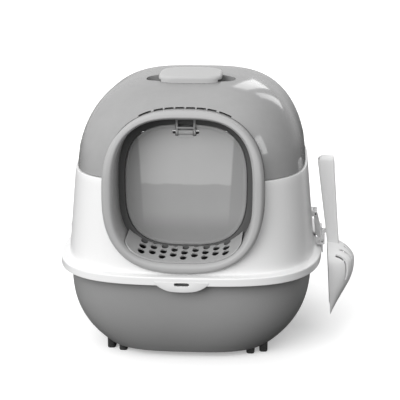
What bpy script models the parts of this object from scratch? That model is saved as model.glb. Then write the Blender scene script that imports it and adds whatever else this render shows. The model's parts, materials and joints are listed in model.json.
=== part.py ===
"""Hooded cat litter box: tray, lift-off hood, flip-up dome, swinging door, clips and scoop.

Metres, +Z up, the entry faces -Y. The tray stands on z = 0 and is centred on the shift
CENTRE_X, so that the whole object with its scoop is centred on the origin.
"""
import math

import bmesh
import bpy
from mathutils import Vector

# ---- driving dimensions, in metres ----
CENTRE_X = -0.0276          # tray centre line; the scoop hangs beyond the +X side
GAP = 0.0003                # clearance between pieces that touch
WALL = 0.003                # moulded wall
SEGMENTS = 40               # points round a shell section
PLAN_POWER = 3.3            # squareness of the rounded-rectangle plan

TRAY_BOTTOM = 0.0085
TRAY_RIM_TOP = 0.1395
TRAY_FOOT_HALF = (0.142, 0.197)     # half width and half depth of the flat bottom
TRAY_TOP_HALF = (0.194, 0.234)      # the same just under the rim
TRAY_BULGE = 3.1                    # how quickly the side swells above the bottom
RIM_HALF = (0.202, 0.242)
RIM_THICK = 0.0035

FLANGE_HALF = (0.210, 0.250)
LIP_BOTTOM = 0.1315
LIP_TOP = 0.1435
LEDGE_UNDER = TRAY_RIM_TOP + GAP
SEAM_Z = 0.283
HOOD_TOP_HALF = (0.185, 0.2265)
SEAT_WIDTH = 0.007                  # inward ledge that the dome rests on

DOME_HALF = (0.182, 0.2235)
DOME_TOP = 0.4222
DOME_WALL = 0.0025
DOME_SIDE_POWERS = (1.7, 3.7)       # shoulder curve seen from the front
DOME_FRONT_POWERS = (2.2, 3.6)      # shoulder curve seen from the side

BEZEL_OUTER = (0.1204, 0.1195, 2.6, 0.2660)     # half width, half height, squareness, centre z
BEZEL_INNER = (0.1032, 0.1054, 3.0, 0.2678)
BEZEL_FRONT_Y = -0.246
BEZEL_CLEAR = 0.0006
TUNNEL_END_Y = -0.172

DOOR_HALF = (0.0926, 0.093, 3.0)
DOOR_Z = 0.2673
DOOR_THICK = 0.0025
DOOR_PIVOT = (-0.172, 0.349)        # y and z of the door's pin

HINGE_AXIS = (0.233, 0.289)         # y and z of the dome's pins
HINGE_X = 0.060

LATCH_Y = 0.022
LATCH_LENGTH = 0.028
LATCH_PIVOT = (0.2002, 0.1835)      # x and z of a clip's pin on the +X side

SCOOP_Y = -0.044
SCOOP_TOP = 0.2915
SCOOP_TIP = 0.0365
SCOOP_NECK = 0.1500
LIFT_POINT = (0.2110, SCOOP_Y, 0.1600)      # where the scoop's hook sits in its holder

HANDLE_Y = -0.080
HANDLE_HALF = (0.049, 0.039)
DISH_HALF = (0.070, 0.030)
DISH_FLOOR = 0.398

# ---- colours ----
GREY = (0.30, 0.30, 0.30)
PALE_GREY = (0.52, 0.52, 0.52)
WHITE = (0.88, 0.88, 0.88)
SMOKE = (0.32, 0.33, 0.33)
FROST = (0.45, 0.45, 0.45)
DARK = (0.06, 0.06, 0.06)
STEEL = (0.60, 0.60, 0.60)


def clear_scene():
    for item in list(bpy.data.objects):
        bpy.data.objects.remove(item, do_unlink=True)


def material(name, colour, roughness, metallic=0.0):
    found = bpy.data.materials.get(name)
    if found:
        return found
    made = bpy.data.materials.new(name)
    made.use_nodes = True
    shader = made.node_tree.nodes["Principled BSDF"]
    shader.inputs["Base Color"].default_value = (*colour, 1.0)
    shader.inputs["Roughness"].default_value = roughness
    shader.inputs["Metallic"].default_value = metallic
    return made


def empty(name, place, parent=None):
    item = bpy.data.objects.new(name, None)
    item.location = place
    item.parent = parent
    bpy.context.collection.objects.link(item)
    return item


# ---- outlines ----
def squircle(half_u, half_v, power, count=SEGMENTS):
    """Points of a superellipse, anticlockwise from +u."""
    points = []
    for step in range(count):
        angle = 2 * math.pi * step / count
        u = math.copysign(abs(math.cos(angle)) ** (2 / power), math.cos(angle))
        v = math.copysign(abs(math.sin(angle)) ** (2 / power), math.sin(angle))
        points.append((half_u * u, half_v * v))
    return points


def plan_ring(half, z, power=PLAN_POWER, centre=(0.0, 0.0), count=SEGMENTS):
    return [(x + centre[0], y + centre[1], z) for x, y in squircle(*half, power, count)]


def grown(half, amount):
    return (half[0] + amount, half[1] + amount)


# ---- mesh building ----
def mesh_object(name, build, parent=None):
    """New object whose mesh is filled by build(bm), with its normals outward."""
    bm = bmesh.new()
    build(bm)
    bmesh.ops.recalc_face_normals(bm, faces=bm.faces)
    mesh = bpy.data.meshes.new(name)
    bm.to_mesh(mesh)
    bm.free()
    item = bpy.data.objects.new(name, mesh)
    bpy.context.collection.objects.link(item)
    item.parent = parent
    return item


def add_loft(bm, rings, closed=False):
    """Quads between rings; the ends are capped, or joined to each other."""
    loops = [[bm.verts.new(point) for point in ring] for ring in rings]
    pairs = list(zip(loops, loops[1:]))
    if closed:
        pairs.append((loops[-1], loops[0]))
    else:
        bm.faces.new(loops[0])
        bm.faces.new(loops[-1])
    for low, high in pairs:
        for i in range(len(low)):
            j = (i + 1) % len(low)
            bm.faces.new((low[i], low[j], high[j], high[i]))


def add_box(bm, low, high):
    rings = []
    for z in (low[2], high[2]):
        corners = ((low[0], low[1]), (high[0], low[1]), (high[0], high[1]), (low[0], high[1]))
        rings.append([(x, y, z) for x, y in corners])
    add_loft(bm, rings)


def add_prism_y(bm, outline, y_low, y_high):
    """Outline of (x, z) points extruded along Y."""
    add_loft(bm, [[(x, y, z) for x, z in outline] for y in (y_low, y_high)])


def circle(radius, centre, count):
    """Points round a centre, with a flat at each quarter turn."""
    turns = [2 * math.pi * (i + 0.5) / count for i in range(count)]
    return [(centre[0] + radius * math.cos(t), centre[1] + radius * math.sin(t)) for t in turns]


def add_rod_x(bm, radius, x_low, x_high, centre, count=16):
    """Rod along X; centre is its (y, z)."""
    outline = circle(radius, centre, count)
    add_loft(bm, [[(x, y, z) for y, z in outline] for x in (x_low, x_high)])


def add_rod_y(bm, radius, y_low, y_high, centre, count=16):
    """Rod along Y; centre is its (x, z)."""
    add_prism_y(bm, circle(radius, centre, count), y_low, y_high)


def cutter(name, build, parent):
    item = mesh_object(name, build, parent)
    item.hide_render = True
    item.display_type = "WIRE"
    return item


def boolean(item, other, operation="DIFFERENCE"):
    step = item.modifiers.new(operation.title(), "BOOLEAN")
    step.operation = operation
    step.object = other
    step.solver = "EXACT"


def finish(item, look, smooth=True):
    item.data.materials.clear()
    item.data.materials.append(look)
    if smooth:
        item.data.shade_smooth()
        item.data.set_sharp_from_angle(angle=math.radians(35))
    return item


# ---- tray and feet ----
def tray_half(z):
    share = (z - TRAY_BOTTOM) / (TRAY_RIM_TOP - RIM_THICK - TRAY_BOTTOM)
    swell = 1 - (1 - min(share, 1.0)) ** TRAY_BULGE
    return tuple(low + (high - low) * swell for low, high in zip(TRAY_FOOT_HALF, TRAY_TOP_HALF))


TRAY_HEIGHTS = (0.0, 0.025, 0.07, 0.14, 0.24, 0.38, 0.56, 0.78, 1.0)


def tray_levels():
    top = TRAY_RIM_TOP - RIM_THICK
    return [TRAY_BOTTOM + (top - TRAY_BOTTOM) * share for share in TRAY_HEIGHTS]


def make_tray(root):
    levels = tray_levels()
    outer = [plan_ring(tray_half(z), z) for z in levels]
    rim = [plan_ring(RIM_HALF, levels[-1]), plan_ring(RIM_HALF, TRAY_RIM_TOP)]
    inner = [plan_ring(grown(TRAY_TOP_HALF, -WALL), TRAY_RIM_TOP)]
    for z in reversed(levels[2:]):
        inner.append(plan_ring(grown(tray_half(z), -WALL), z))
    inner.append(plan_ring(grown(tray_half(levels[1]), -2 * WALL), TRAY_BOTTOM + WALL))
    item = mesh_object("tray", lambda bm: add_loft(bm, outer + rim + inner), root)
    return finish(item, material("tray_grey", GREY, 0.42))


def tray_solid(root):
    rings = [plan_ring(grown(tray_half(z), GAP), z - GAP) for z in tray_levels()[:6]]
    return cutter("cut_tray_shape", lambda bm: add_loft(bm, rings), root)


FOOT_PLACES = (("outer", 0.120, 0.152), ("inner", 0.100, 0.162))
FOOT_HALF = (0.0065, 0.011)
FOOT_BLANK_TOP = 0.0200


def make_feet(root):
    shape = tray_solid(root)
    for end, sign_y in (("front", -1), ("rear", 1)):
        for side, sign_x in (("left", -1), ("right", 1)):
            for place, x, y in FOOT_PLACES:
                centre = (sign_x * x, sign_y * y)
                rings = [plan_ring(grown(FOOT_HALF, -0.0012), 0.0, 4.0, centre, 16)]
                rings.append(plan_ring(FOOT_HALF, 0.0012, 4.0, centre, 16))
                rings.append(plan_ring(FOOT_HALF, FOOT_BLANK_TOP, 4.0, centre, 16))
                item = mesh_object(f"foot_{end}_{side}_{place}", lambda bm, r=rings: add_loft(bm, r), root)
                boolean(item, shape)
                finish(item, material("foot_rubber", DARK, 0.8))


# ---- hood shell ----
def hood_wall_half(z):
    base_z = 0.158
    share = (z - base_z) / (SEAM_Z - base_z)
    base = (0.196, 0.2365)
    return tuple(low + (high - low) * share for low, high in zip(base, HOOD_TOP_HALF))


def hood_outer_rings():
    return [
        plan_ring(FLANGE_HALF, LIP_BOTTOM),
        plan_ring(FLANGE_HALF, LIP_TOP - 0.0015),
        plan_ring(grown(FLANGE_HALF, -0.0015), LIP_TOP),
        plan_ring(grown(FLANGE_HALF, -0.007), LIP_TOP + 0.0012),
        plan_ring(grown(FLANGE_HALF, -0.0105), LIP_TOP + 0.0035),
        plan_ring(grown(FLANGE_HALF, -0.0125), LIP_TOP + 0.008),
        plan_ring(hood_wall_half(0.158), 0.158),
        plan_ring(hood_wall_half(0.22), 0.22),
        plan_ring(HOOD_TOP_HALF, SEAM_Z - 0.001),
        plan_ring(grown(HOOD_TOP_HALF, -0.001), SEAM_Z),
    ]


def hood_inner_rings():
    seat = grown(HOOD_TOP_HALF, -SEAT_WIDTH)
    return [
        plan_ring(seat, SEAM_Z),
        plan_ring(seat, SEAM_Z - 0.003),
        plan_ring(grown(hood_wall_half(0.271), -WALL), 0.271),
        plan_ring(grown(hood_wall_half(0.22), -WALL), 0.22),
        plan_ring(grown(hood_wall_half(0.158), -WALL), 0.158),
        plan_ring(grown(hood_wall_half(0.158), -WALL), LEDGE_UNDER),
        plan_ring(grown(FLANGE_HALF, -WALL), LEDGE_UNDER),
        plan_ring(grown(FLANGE_HALF, -WALL), LIP_BOTTOM),
    ]


TONGUE_OUTLINE = ((-0.041, 0.1360), (-0.038, 0.1320), (-0.028, 0.1255), (-0.018, 0.1222), (0.0, 0.1212),
                  (0.018, 0.1222), (0.028, 0.1255), (0.038, 0.1320), (0.041, 0.1360))
SLOT_HALF = (0.0112, 0.0026)
SLOT_Z = 0.1332


def make_hood(hood_frame):
    rings = hood_outer_rings() + hood_inner_rings()
    item = mesh_object("hood_lower", lambda bm: add_loft(bm, rings, closed=True), hood_frame)
    front = -FLANGE_HALF[1]

    def tongue(bm):
        add_prism_y(bm, TONGUE_OUTLINE, front - 0.0003, front + 0.0028)

    boolean(item, cutter("add_tongue", tongue, hood_frame), "UNION")

    def slot(bm):
        outline = [(x, SLOT_Z + z) for x, z in squircle(*SLOT_HALF, 5.0, 16)]
        add_prism_y(bm, outline, front - 0.004, front + 0.006)

    boolean(item, cutter("cut_tongue_slot", slot, hood_frame))
    boolean(item, entry_cutter(hood_frame))
    boolean(item, cutter("cut_clip_notches", add_clip_notches, hood_frame))
    return finish(item, material("hood_white", WHITE, 0.3))


def add_clip_notches(bm):
    half = LATCH_LENGTH / 2 + 0.0006
    for sign in (-1, 1):
        xs = sorted((sign * 0.1998, sign * 0.2150))
        add_box(bm, (xs[0], LATCH_Y - half, 0.128), (xs[1], LATCH_Y + half, 0.153))


# ---- entry: bezel, tunnel, grate ----
def bezel_face_y(z):
    """Front face of the bezel: almost upright, then curving back above the seam."""
    rise = z - (BEZEL_OUTER[3] - BEZEL_OUTER[1])
    return BEZEL_FRONT_Y + 0.067 * rise + 2.4 * max(0.0, z - SEAM_Z) ** 2


def entry_outline(share, extra=0.0, count=SEGMENTS):
    """(x, z) outline between the doorway edge (share 0) and the bezel's outer edge (share 1)."""
    inner = squircle(*BEZEL_INNER[:3], count)
    outer = squircle(*BEZEL_OUTER[:3], count)
    centre = BEZEL_INNER[3] + (BEZEL_OUTER[3] - BEZEL_INNER[3]) * share
    points = []
    for (ix, iz), (ox, oz) in zip(inner, outer):
        x = ix + (ox - ix) * share
        z = iz + (oz - iz) * share
        stretch = 1 + extra / math.hypot(x, z)
        points.append((x * stretch, centre + z * stretch))
    return points


def entry_cutter(parent):
    outline = entry_outline(1.0, BEZEL_CLEAR)
    return cutter("cut_entry", lambda bm: add_prism_y(bm, outline, -0.262, -0.130), parent)


BEZEL_SECTION = ((0.0, 0.007), (0.10, 0.0025), (0.32, 0.0), (0.66, 0.0), (0.90, 0.0028), (1.0, 0.007),
                 (1.0, 0.040), (0.83, 0.040), (0.83, 0.010), (0.17, 0.010))


def bezel_rings():
    rings = []
    for share, depth in BEZEL_SECTION:
        rings.append([(x, bezel_face_y(z) + depth, z) for x, z in entry_outline(share)])
    for share in (0.17, 0.0):
        rings.append([(x, TUNNEL_END_Y, z) for x, z in entry_outline(share)])
    return rings


def make_bezel(hood_frame):
    item = mesh_object("entry_bezel", lambda bm: add_loft(bm, bezel_rings(), closed=True), hood_frame)

    def window(bm):
        add_box(bm, (-0.070, -0.233, 0.140), (0.070, TUNNEL_END_Y - 0.006, 0.1725))

    boolean(item, cutter("cut_litter_window", window, hood_frame))
    return finish(item, material("bezel_grey", PALE_GREY, 0.35))


GRATE_HALF_X = 0.080
GRATE_FRONT = -0.2385
GRATE_FRONT_Z = 0.1653
GRATE_REAR = -0.097
GRATE_THICK = 0.0025
DOOR_SWEEP = 0.1772                 # radius that the door's lower edge clears


def doorway_rise(x):
    """How far the doorway's lower edge has risen at x."""
    half, height, power = BEZEL_INNER[:3]
    return height * (1 - (1 - (abs(x) / half) ** power) ** (1 / power))


def grate_top(x, y):
    if y < DOOR_PIVOT[0]:
        share = (y - GRATE_FRONT) / (DOOR_PIVOT[0] - GRATE_FRONT)
        level = GRATE_FRONT_Z + (DOOR_PIVOT[1] - DOOR_SWEEP - GRATE_FRONT_Z) * share
    else:
        level = DOOR_PIVOT[1] - math.sqrt(DOOR_SWEEP ** 2 - (y - DOOR_PIVOT[0]) ** 2)
    return level + doorway_rise(x)


SLOT_PITCH = (0.016, 0.0212)
SLOT_SIZE = (0.0096, 0.0150)
SLOT_ROWS = 6
FIRST_SLOT_Y = -0.2200


def slot_places():
    """Staggered rows of drain slots; every second column is moved half a pitch."""
    places = []
    for column in range(-4, 5):
        x = column * SLOT_PITCH[0]
        offset = SLOT_PITCH[1] / 2 * (column % 2)
        for row in range(SLOT_ROWS):
            y = FIRST_SLOT_Y + offset + row * SLOT_PITCH[1]
            if y + SLOT_SIZE[1] / 2 < GRATE_REAR - 0.004:
                places.append((x, y))
    return places


def make_grate(hood_frame):
    xs = [GRATE_HALF_X * (i / 7 - 1) for i in range(15)]
    ys = [GRATE_FRONT, DOOR_PIVOT[0], -0.150, -0.128, -0.110, GRATE_REAR]
    rings = []
    for y in ys:
        top = [(x, y, grate_top(x, y)) for x in xs]
        under = [(x, y, grate_top(x, y) - GRATE_THICK) for x in reversed(xs)]
        rings.append(top + under)
    item = mesh_object("step_grate", lambda bm: add_loft(bm, rings), hood_frame)

    def slots(bm):
        for x, y in slot_places():
            outline = [(x + u, y + v) for u, v in squircle(SLOT_SIZE[0] / 2, SLOT_SIZE[1] / 2, 2.6, 8)]
            add_loft(bm, [[(u, v, z) for u, v in outline] for z in (0.155, 0.215)])

    boolean(item, cutter("cut_grate_slots", slots, hood_frame))
    return finish(item, material("bezel_grey", PALE_GREY, 0.35))


# ---- door ----
BRACKET_HALF = 0.0150               # half width of the hanger over the door
LUG_THICK = 0.0032
KNUCKLE_HALF = 0.0108
NOTCH_HALF = 0.0158                 # half width of the door's cut-out round the hanger
HANGER_CEILING = 0.3718             # just under the tunnel's roof
PIN_RADIUS = 0.0020
BORE_RADIUS = 0.0025
CLIP_PIN_RADIUS = 0.0013
CLIP_PIN_OVERHANG = 0.0042


def make_door(door_frame):
    front = -DOOR_THICK / 2
    outline = [(x, z + DOOR_Z - DOOR_PIVOT[1]) for x, z in squircle(*DOOR_HALF)]
    item = mesh_object("door", lambda bm: add_prism_y(bm, outline, front, -front), door_frame)

    def notch(bm):
        add_box(bm, (-NOTCH_HALF, -0.02, -0.0055), (NOTCH_HALF, 0.02, 0.02))

    def tab(bm):
        add_box(bm, (-KNUCKLE_HALF, front, -0.008), (KNUCKLE_HALF, -front, 0.0))

    def knuckle(bm):
        add_rod_x(bm, 0.0042, -KNUCKLE_HALF, KNUCKLE_HALF, (0.0, 0.0))

    def bore(bm):
        add_rod_x(bm, BORE_RADIUS, -0.02, 0.02, (0.0, 0.0))

    boolean(item, cutter("cut_door_notch", notch, door_frame))
    boolean(item, cutter("add_door_tab", tab, door_frame), "UNION")
    boolean(item, cutter("add_door_knuckle", knuckle, door_frame), "UNION")
    boolean(item, cutter("cut_door_bore", bore, door_frame))
    return finish(item, material("door_frost", FROST, 0.4))


def make_door_hanger(hood_frame):
    y, z = DOOR_PIVOT
    sides = ((-BRACKET_HALF, -BRACKET_HALF + LUG_THICK), (BRACKET_HALF - LUG_THICK, BRACKET_HALF))

    def plate(bm):
        add_box(bm, (-BRACKET_HALF, y - 0.0085, HANGER_CEILING - 0.003),
                (BRACKET_HALF, y + 0.0055, HANGER_CEILING))

    def lugs(bm):
        for left, right in sides:
            add_box(bm, (left, y - 0.0040, z), (right, y + 0.0040, HANGER_CEILING - 0.001))

    def lug_ends(bm):
        for left, right in sides:
            add_rod_x(bm, 0.0044, left + 0.0001, right - 0.0001, (y, z))

    def crossbar(bm):
        half = BRACKET_HALF - 0.001
        add_box(bm, (-half, y - 0.0072, z + 0.0062), (half, y - 0.0034, z + 0.0088))

    def bores(bm):
        add_rod_x(bm, PIN_RADIUS + GAP, -0.02, 0.02, (y, z))

    item = mesh_object("door_hanger", plate, hood_frame)
    for shape in (lugs, lug_ends, crossbar):
        boolean(item, cutter(f"add_hanger_{shape.__name__}", shape, hood_frame), "UNION")
    boolean(item, cutter("cut_hanger_bores", bores, hood_frame))
    return finish(item, material("bezel_grey", PALE_GREY, 0.35))


def make_pins(hood_frame):
    """Steel pins along X for the door and the dome, and along Y for the clips."""
    steel = material("pin_steel", STEEL, 0.35, 1.0)

    def pin_x(name, centre_x, axis):
        def rod(bm):
            add_rod_x(bm, PIN_RADIUS, centre_x - BRACKET_HALF, centre_x + BRACKET_HALF, axis)

        finish(mesh_object(name, rod, hood_frame), steel)

    def pin_y(name, axis):
        reach = LATCH_LENGTH / 2 + CLIP_PIN_OVERHANG

        def rod(bm):
            add_rod_y(bm, CLIP_PIN_RADIUS, LATCH_Y - reach, LATCH_Y + reach, axis, 12)

        finish(mesh_object(name, rod, hood_frame), steel)

    pin_x("door_pin", 0.0, DOOR_PIVOT)
    for side, sign in (("left", -1), ("right", 1)):
        pin_x(f"dome_hinge_pin_{side}", sign * HINGE_X, HINGE_AXIS)
        pin_y(f"clip_pin_{side}", (sign * LATCH_PIVOT[0], LATCH_PIVOT[1]))


# ---- dome ----
def dome_half(z, inset=0.0):
    share = (z - SEAM_Z - GAP) / (DOME_TOP - inset - SEAM_Z - GAP)
    halves = []
    for half, (rise, round_off) in zip(DOME_HALF, (DOME_SIDE_POWERS, DOME_FRONT_POWERS)):
        halves.append((half - inset) * (1 - max(share, 0.0) ** rise) ** (1 / round_off))
    return tuple(halves)


DOME_SHARES = (0.0, 0.18, 0.36, 0.52, 0.66, 0.78, 0.87, 0.93, 0.965, 0.985, 0.997)


def dome_rings(inset=0.0, extra=0.0):
    base = SEAM_Z + GAP
    top = DOME_TOP - inset
    rings = []
    for share in DOME_SHARES:
        z = base + (top - base) * share
        rings.append(plan_ring(grown(dome_half(z, inset), extra), z + extra * share))
    return rings


def dome_solid(name, parent, extra=0.0):
    return cutter(name, lambda bm: add_loft(bm, dome_rings(0.0, extra)), parent)


def dish_rings(extra, floor):
    """Finger dish: narrow at its floor, full width 16 mm above it, open upward."""
    rings = []
    for z, narrow, shallow in ((floor, 0.012, 0.006), (floor + 0.006, 0.004, 0.002),
                               (floor + 0.016, 0.0, 0.0), (0.450, 0.0, 0.0)):
        half = (DISH_HALF[0] - narrow + extra, DISH_HALF[1] - shallow + extra)
        rings.append(plan_ring(half, z, 2.6, (0.0, HANDLE_Y)))
    return rings


def make_dome(dome_frame):
    rings = list(reversed(dome_rings())) + dome_rings(DOME_WALL)
    item = mesh_object("dome", lambda bm: add_loft(bm, rings), dome_frame)
    offset_to_axis(item)
    under_dish = dish_rings(DOME_WALL, DISH_FLOOR - DOME_WALL)
    bowl = cutter("add_handle_dish", lambda bm: add_loft(bm, under_dish), dome_frame)
    limit = dome_solid("cut_dome_limit", dome_frame)
    hollow = cutter("cut_handle_dish", lambda bm: add_loft(bm, dish_rings(0.0, DISH_FLOOR)), dome_frame)
    vents = cutter("cut_vents", add_vents, dome_frame)
    arch = entry_cutter(dome_frame)
    for piece in (bowl, limit, hollow, vents, arch):
        offset_to_axis(piece)
    boolean(bowl, limit, "INTERSECT")
    boolean(item, bowl, "UNION")
    boolean(item, hollow)
    boolean(item, arch)
    boolean(item, vents)
    return finish(item, material("dome_smoke", SMOKE, 0.12))


VENT_CENTRES = (-0.060, -0.040, -0.024, -0.008, 0.008, 0.024, 0.040, 0.060)
VENT_LENGTHS = (0.018, 0.013, 0.013, 0.013, 0.013, 0.013, 0.013, 0.018)
VENT_HEIGHT = 0.0022


def arch_height(x):
    half, height, power, centre = BEZEL_OUTER
    return centre + height * (1 - (abs(x) / half) ** power) ** (1 / power)


def add_vents(bm):
    """Slim breathing gaps between the dome's arch and the bezel."""
    for centre, length in zip(VENT_CENTRES, VENT_LENGTHS):
        left, right = centre - length / 2, centre + length / 2
        outline = ((left, arch_height(left) - 0.002), (right, arch_height(right) - 0.002),
                   (right, arch_height(right) + BEZEL_CLEAR + VENT_HEIGHT),
                   (left, arch_height(left) + BEZEL_CLEAR + VENT_HEIGHT))
        add_prism_y(bm, outline, -0.250, -0.140)


def offset_to_axis(item):
    """Rewrite a mesh built in tray coordinates relative to the dome's hinge axis."""
    shift = Vector((0.0, -HINGE_AXIS[0], -HINGE_AXIS[1]))
    for vertex in item.data.vertices:
        vertex.co += shift


def make_handle(dome_frame):
    centre = (0.0, HANDLE_Y)

    def plate(bm):
        rings = [plan_ring(HANDLE_HALF, 0.405, 4.0, centre)]
        for rise, inset in ((0.0, 0.0), (0.004, 0.001), (0.0065, 0.004)):
            ring = plan_ring(grown(HANDLE_HALF, -inset), 0.0, 4.0, centre)
            rings.append([(x, y, 0.4236 + rise + 0.085 * (y - HANDLE_Y) - 0.6 * x * x) for x, y, _ in ring])
        add_loft(bm, rings)

    item = mesh_object("dome_handle", plate, dome_frame)
    def finger_way(bm):
        add_box(bm, (-0.06, HANDLE_Y - DISH_HALF[1], 0.39), (0.06, HANDLE_Y + DISH_HALF[1], 0.4205))

    skin = dome_solid("cut_dome_under_handle", dome_frame, GAP)
    grip = cutter("cut_finger_way", finger_way, dome_frame)
    for piece in (item, skin, grip):
        offset_to_axis(piece)
    boolean(item, skin)
    boolean(item, grip)
    return finish(item, material("handle_white", WHITE, 0.35))


# ---- dome hinges ----
def make_dome_hinges(hood_frame, dome_frame):
    y, z = HINGE_AXIS
    wall = cutter("cut_hood_wall", lambda bm: add_loft(bm, hood_wall_solid()), hood_frame)
    skin = dome_solid("cut_dome_at_hinges", dome_frame, GAP)
    offset_to_axis(skin)
    for side, sign in (("left", -1), ("right", 1)):
        centre = sign * HINGE_X

        def base(bm, c=centre):
            add_box(bm, (c - 0.0145, 0.2180, 0.260), (c + 0.0145, y + 0.0040, 0.2785))

        def lugs(bm, c=centre):
            for edge in (c - 0.0145, c + 0.0110):
                add_box(bm, (edge, 0.2285, 0.262), (edge + 0.0035, y + 0.0050, z + 0.0050))

        def bore(bm, c=centre):
            add_rod_x(bm, PIN_RADIUS + GAP, c - 0.03, c + 0.03, (y, z))

        bracket = mesh_object(f"hood_hinge_{side}", base, hood_frame)
        boolean(bracket, cutter(f"add_lugs_{side}", lugs, hood_frame), "UNION")
        boolean(bracket, wall)
        boolean(bracket, cutter(f"cut_lug_bore_{side}", bore, hood_frame))
        finish(bracket, material("hood_white", WHITE, 0.3))

        def barrel(bm, c=centre):
            add_rod_x(bm, 0.0044, c - 0.0105, c + 0.0105, (y, z))

        def arm(bm, c=centre):
            add_box(bm, (c - 0.0105, 0.2150, 0.2855), (c + 0.0105, y, 0.2930))

        def barrel_bore(bm, c=centre):
            add_rod_x(bm, BORE_RADIUS, c - 0.03, c + 0.03, (y, z))

        knuckle = mesh_object(f"dome_knuckle_{side}", barrel, dome_frame)
        arm_shape = cutter(f"add_arm_{side}", arm, dome_frame)
        bore_shape = cutter(f"cut_knuckle_bore_{side}", barrel_bore, dome_frame)
        for piece in (knuckle, arm_shape, bore_shape):
            offset_to_axis(piece)
        boolean(knuckle, arm_shape, "UNION")
        boolean(knuckle, skin)
        boolean(knuckle, bore_shape)
        finish(knuckle, material("dome_smoke", SMOKE, 0.12))


def hood_wall_solid():
    return [plan_ring(grown(hood_wall_half(z), GAP), z) for z in (0.156, 0.22, SEAM_Z + 0.001)]


# ---- side clips ----
def clip_outline(sign):
    """(x, z) profile of a clip: round eye, slanted fin, block, leg and snap bead."""
    px, pz = LATCH_PIVOT
    eye = [(px + 0.003 * math.cos(t), pz + 0.003 * math.sin(t))
           for t in (math.radians(a) for a in range(200, -21, -20))]
    body = [(0.2085, 0.1610), (0.2120, 0.1600), (0.2120, 0.1475), (0.2100, 0.1445), (0.2100, 0.1330),
            (0.2030, 0.1330), (0.2024, 0.1340), (0.2030, 0.1350), (0.2068, 0.1362), (0.2068, 0.1420),
            (0.2008, 0.1475), (0.1995, 0.1580)]
    return [(sign * x, z) for x, z in eye + body]


def make_clips(hood_frame):
    wall = cutter("cut_wall_at_clips", lambda bm: add_loft(bm, hood_wall_solid()), hood_frame)
    half = LATCH_LENGTH / 2
    for side, sign in (("left", -1), ("right", 1)):
        px, pz = sign * LATCH_PIVOT[0], LATCH_PIVOT[1]
        pivot = empty(f"clip_axis_{side}", (px, LATCH_Y, pz), hood_frame)
        outline = [(x - px, z - pz) for x, z in clip_outline(sign)]

        def bore(bm):
            add_rod_y(bm, CLIP_PIN_RADIUS + 0.0004, -0.03, 0.03, (0.0, 0.0), 12)

        clip = mesh_object(f"clip_{side}", lambda bm, o=outline: add_prism_y(bm, o, -half, half), pivot)
        boolean(clip, cutter(f"cut_clip_bore_{side}", bore, pivot))
        finish(clip, material("clip_white", WHITE, 0.35))

        def plate(bm, s=sign):
            xs = sorted((s * 0.1900, s * 0.1968))
            add_box(bm, (xs[0], LATCH_Y - half - 0.0040, 0.1790), (xs[1], LATCH_Y + half + 0.0040, 0.1880))

        def ears(bm, s=sign):
            xs = sorted((s * 0.1920, s * 0.2030))
            for y_low in (LATCH_Y - half - 0.0040, LATCH_Y + half + 0.0006):
                add_box(bm, (xs[0], y_low, 0.1795), (xs[1], y_low + 0.0034, 0.1875))

        def ear_bores(bm, c=(px, pz)):
            add_rod_y(bm, CLIP_PIN_RADIUS + GAP, -0.03, 0.07, c, 12)

        bracket = mesh_object(f"clip_bracket_{side}", plate, hood_frame)
        boolean(bracket, cutter(f"add_ears_{side}", ears, hood_frame), "UNION")
        boolean(bracket, wall)
        boolean(bracket, cutter(f"cut_ear_bores_{side}", ear_bores, hood_frame))
        finish(bracket, material("hood_white", WHITE, 0.3))


# ---- scoop and its holder ----
HOLDER_OUTLINE = ((0.2030, 0.1470), (0.2103, 0.1470), (0.2103, 0.1340), (0.2121, 0.1340), (0.2121, 0.1470),
                  (0.2148, 0.1480), (0.2148, 0.1655), (0.2130, 0.1655), (0.2130, 0.1500), (0.2092, 0.1500),
                  (0.2092, 0.1655), (0.2074, 0.1655), (0.2074, 0.1490), (0.2030, 0.1490))

HOLDER_HALF = 0.011


def make_scoop_holder(hood_frame):
    def strap(bm):
        add_prism_y(bm, HOLDER_OUTLINE, SCOOP_Y - HOLDER_HALF, SCOOP_Y + HOLDER_HALF)

    item = mesh_object("scoop_holder", strap, hood_frame)
    return finish(item, material("clip_white", WHITE, 0.35))


NECK_LEFT = 0.2190
NECK_RIGHT = 0.2378


def scoop_left(z):
    """Side of the scoop that faces the box."""
    slope = 0.1357 if z > SCOOP_NECK else 0.0588
    return NECK_LEFT - slope * (z - SCOOP_NECK)


def scoop_handle_right(z):
    return NECK_RIGHT - 0.0772 * (z - SCOOP_NECK)


# height, half width, depth of the bowl from its rim plane
BOWL_SECTIONS = ((0.1525, 0.0120, 0.0175), (0.1460, 0.0225, 0.0275), (0.1385, 0.0340, 0.0355),
                 (0.1290, 0.0410, 0.0418), (0.1190, 0.0435, 0.0425), (0.1040, 0.0440, 0.0400),
                 (0.0900, 0.0430, 0.0345), (0.0770, 0.0415, 0.0270), (0.0640, 0.0390, 0.0190),
                 (0.0500, 0.0360, 0.0105), (SCOOP_TIP, 0.0320, 0.0024))
BOWL_POWER = 2.5
BOWL_WALL = 0.0022


def bowl_ring(z, half_width, depth, open_side=0.0, count=15):
    """Section of the bowl: a straight rim edge on the box's side and a round belly."""
    left = scoop_left(z)
    points = []
    if open_side:
        points.append((left - open_side, SCOOP_Y - half_width, z))
    for step in range(count):
        angle = math.pi * (step / (count - 1) - 0.5)
        x = left + depth * abs(math.cos(angle)) ** (2 / BOWL_POWER)
        y = SCOOP_Y + half_width * math.copysign(abs(math.sin(angle)) ** (2 / BOWL_POWER), math.sin(angle))
        points.append((x, y, z))
    if open_side:
        points.append((left - open_side, SCOOP_Y + half_width, z))
    return points


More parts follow.
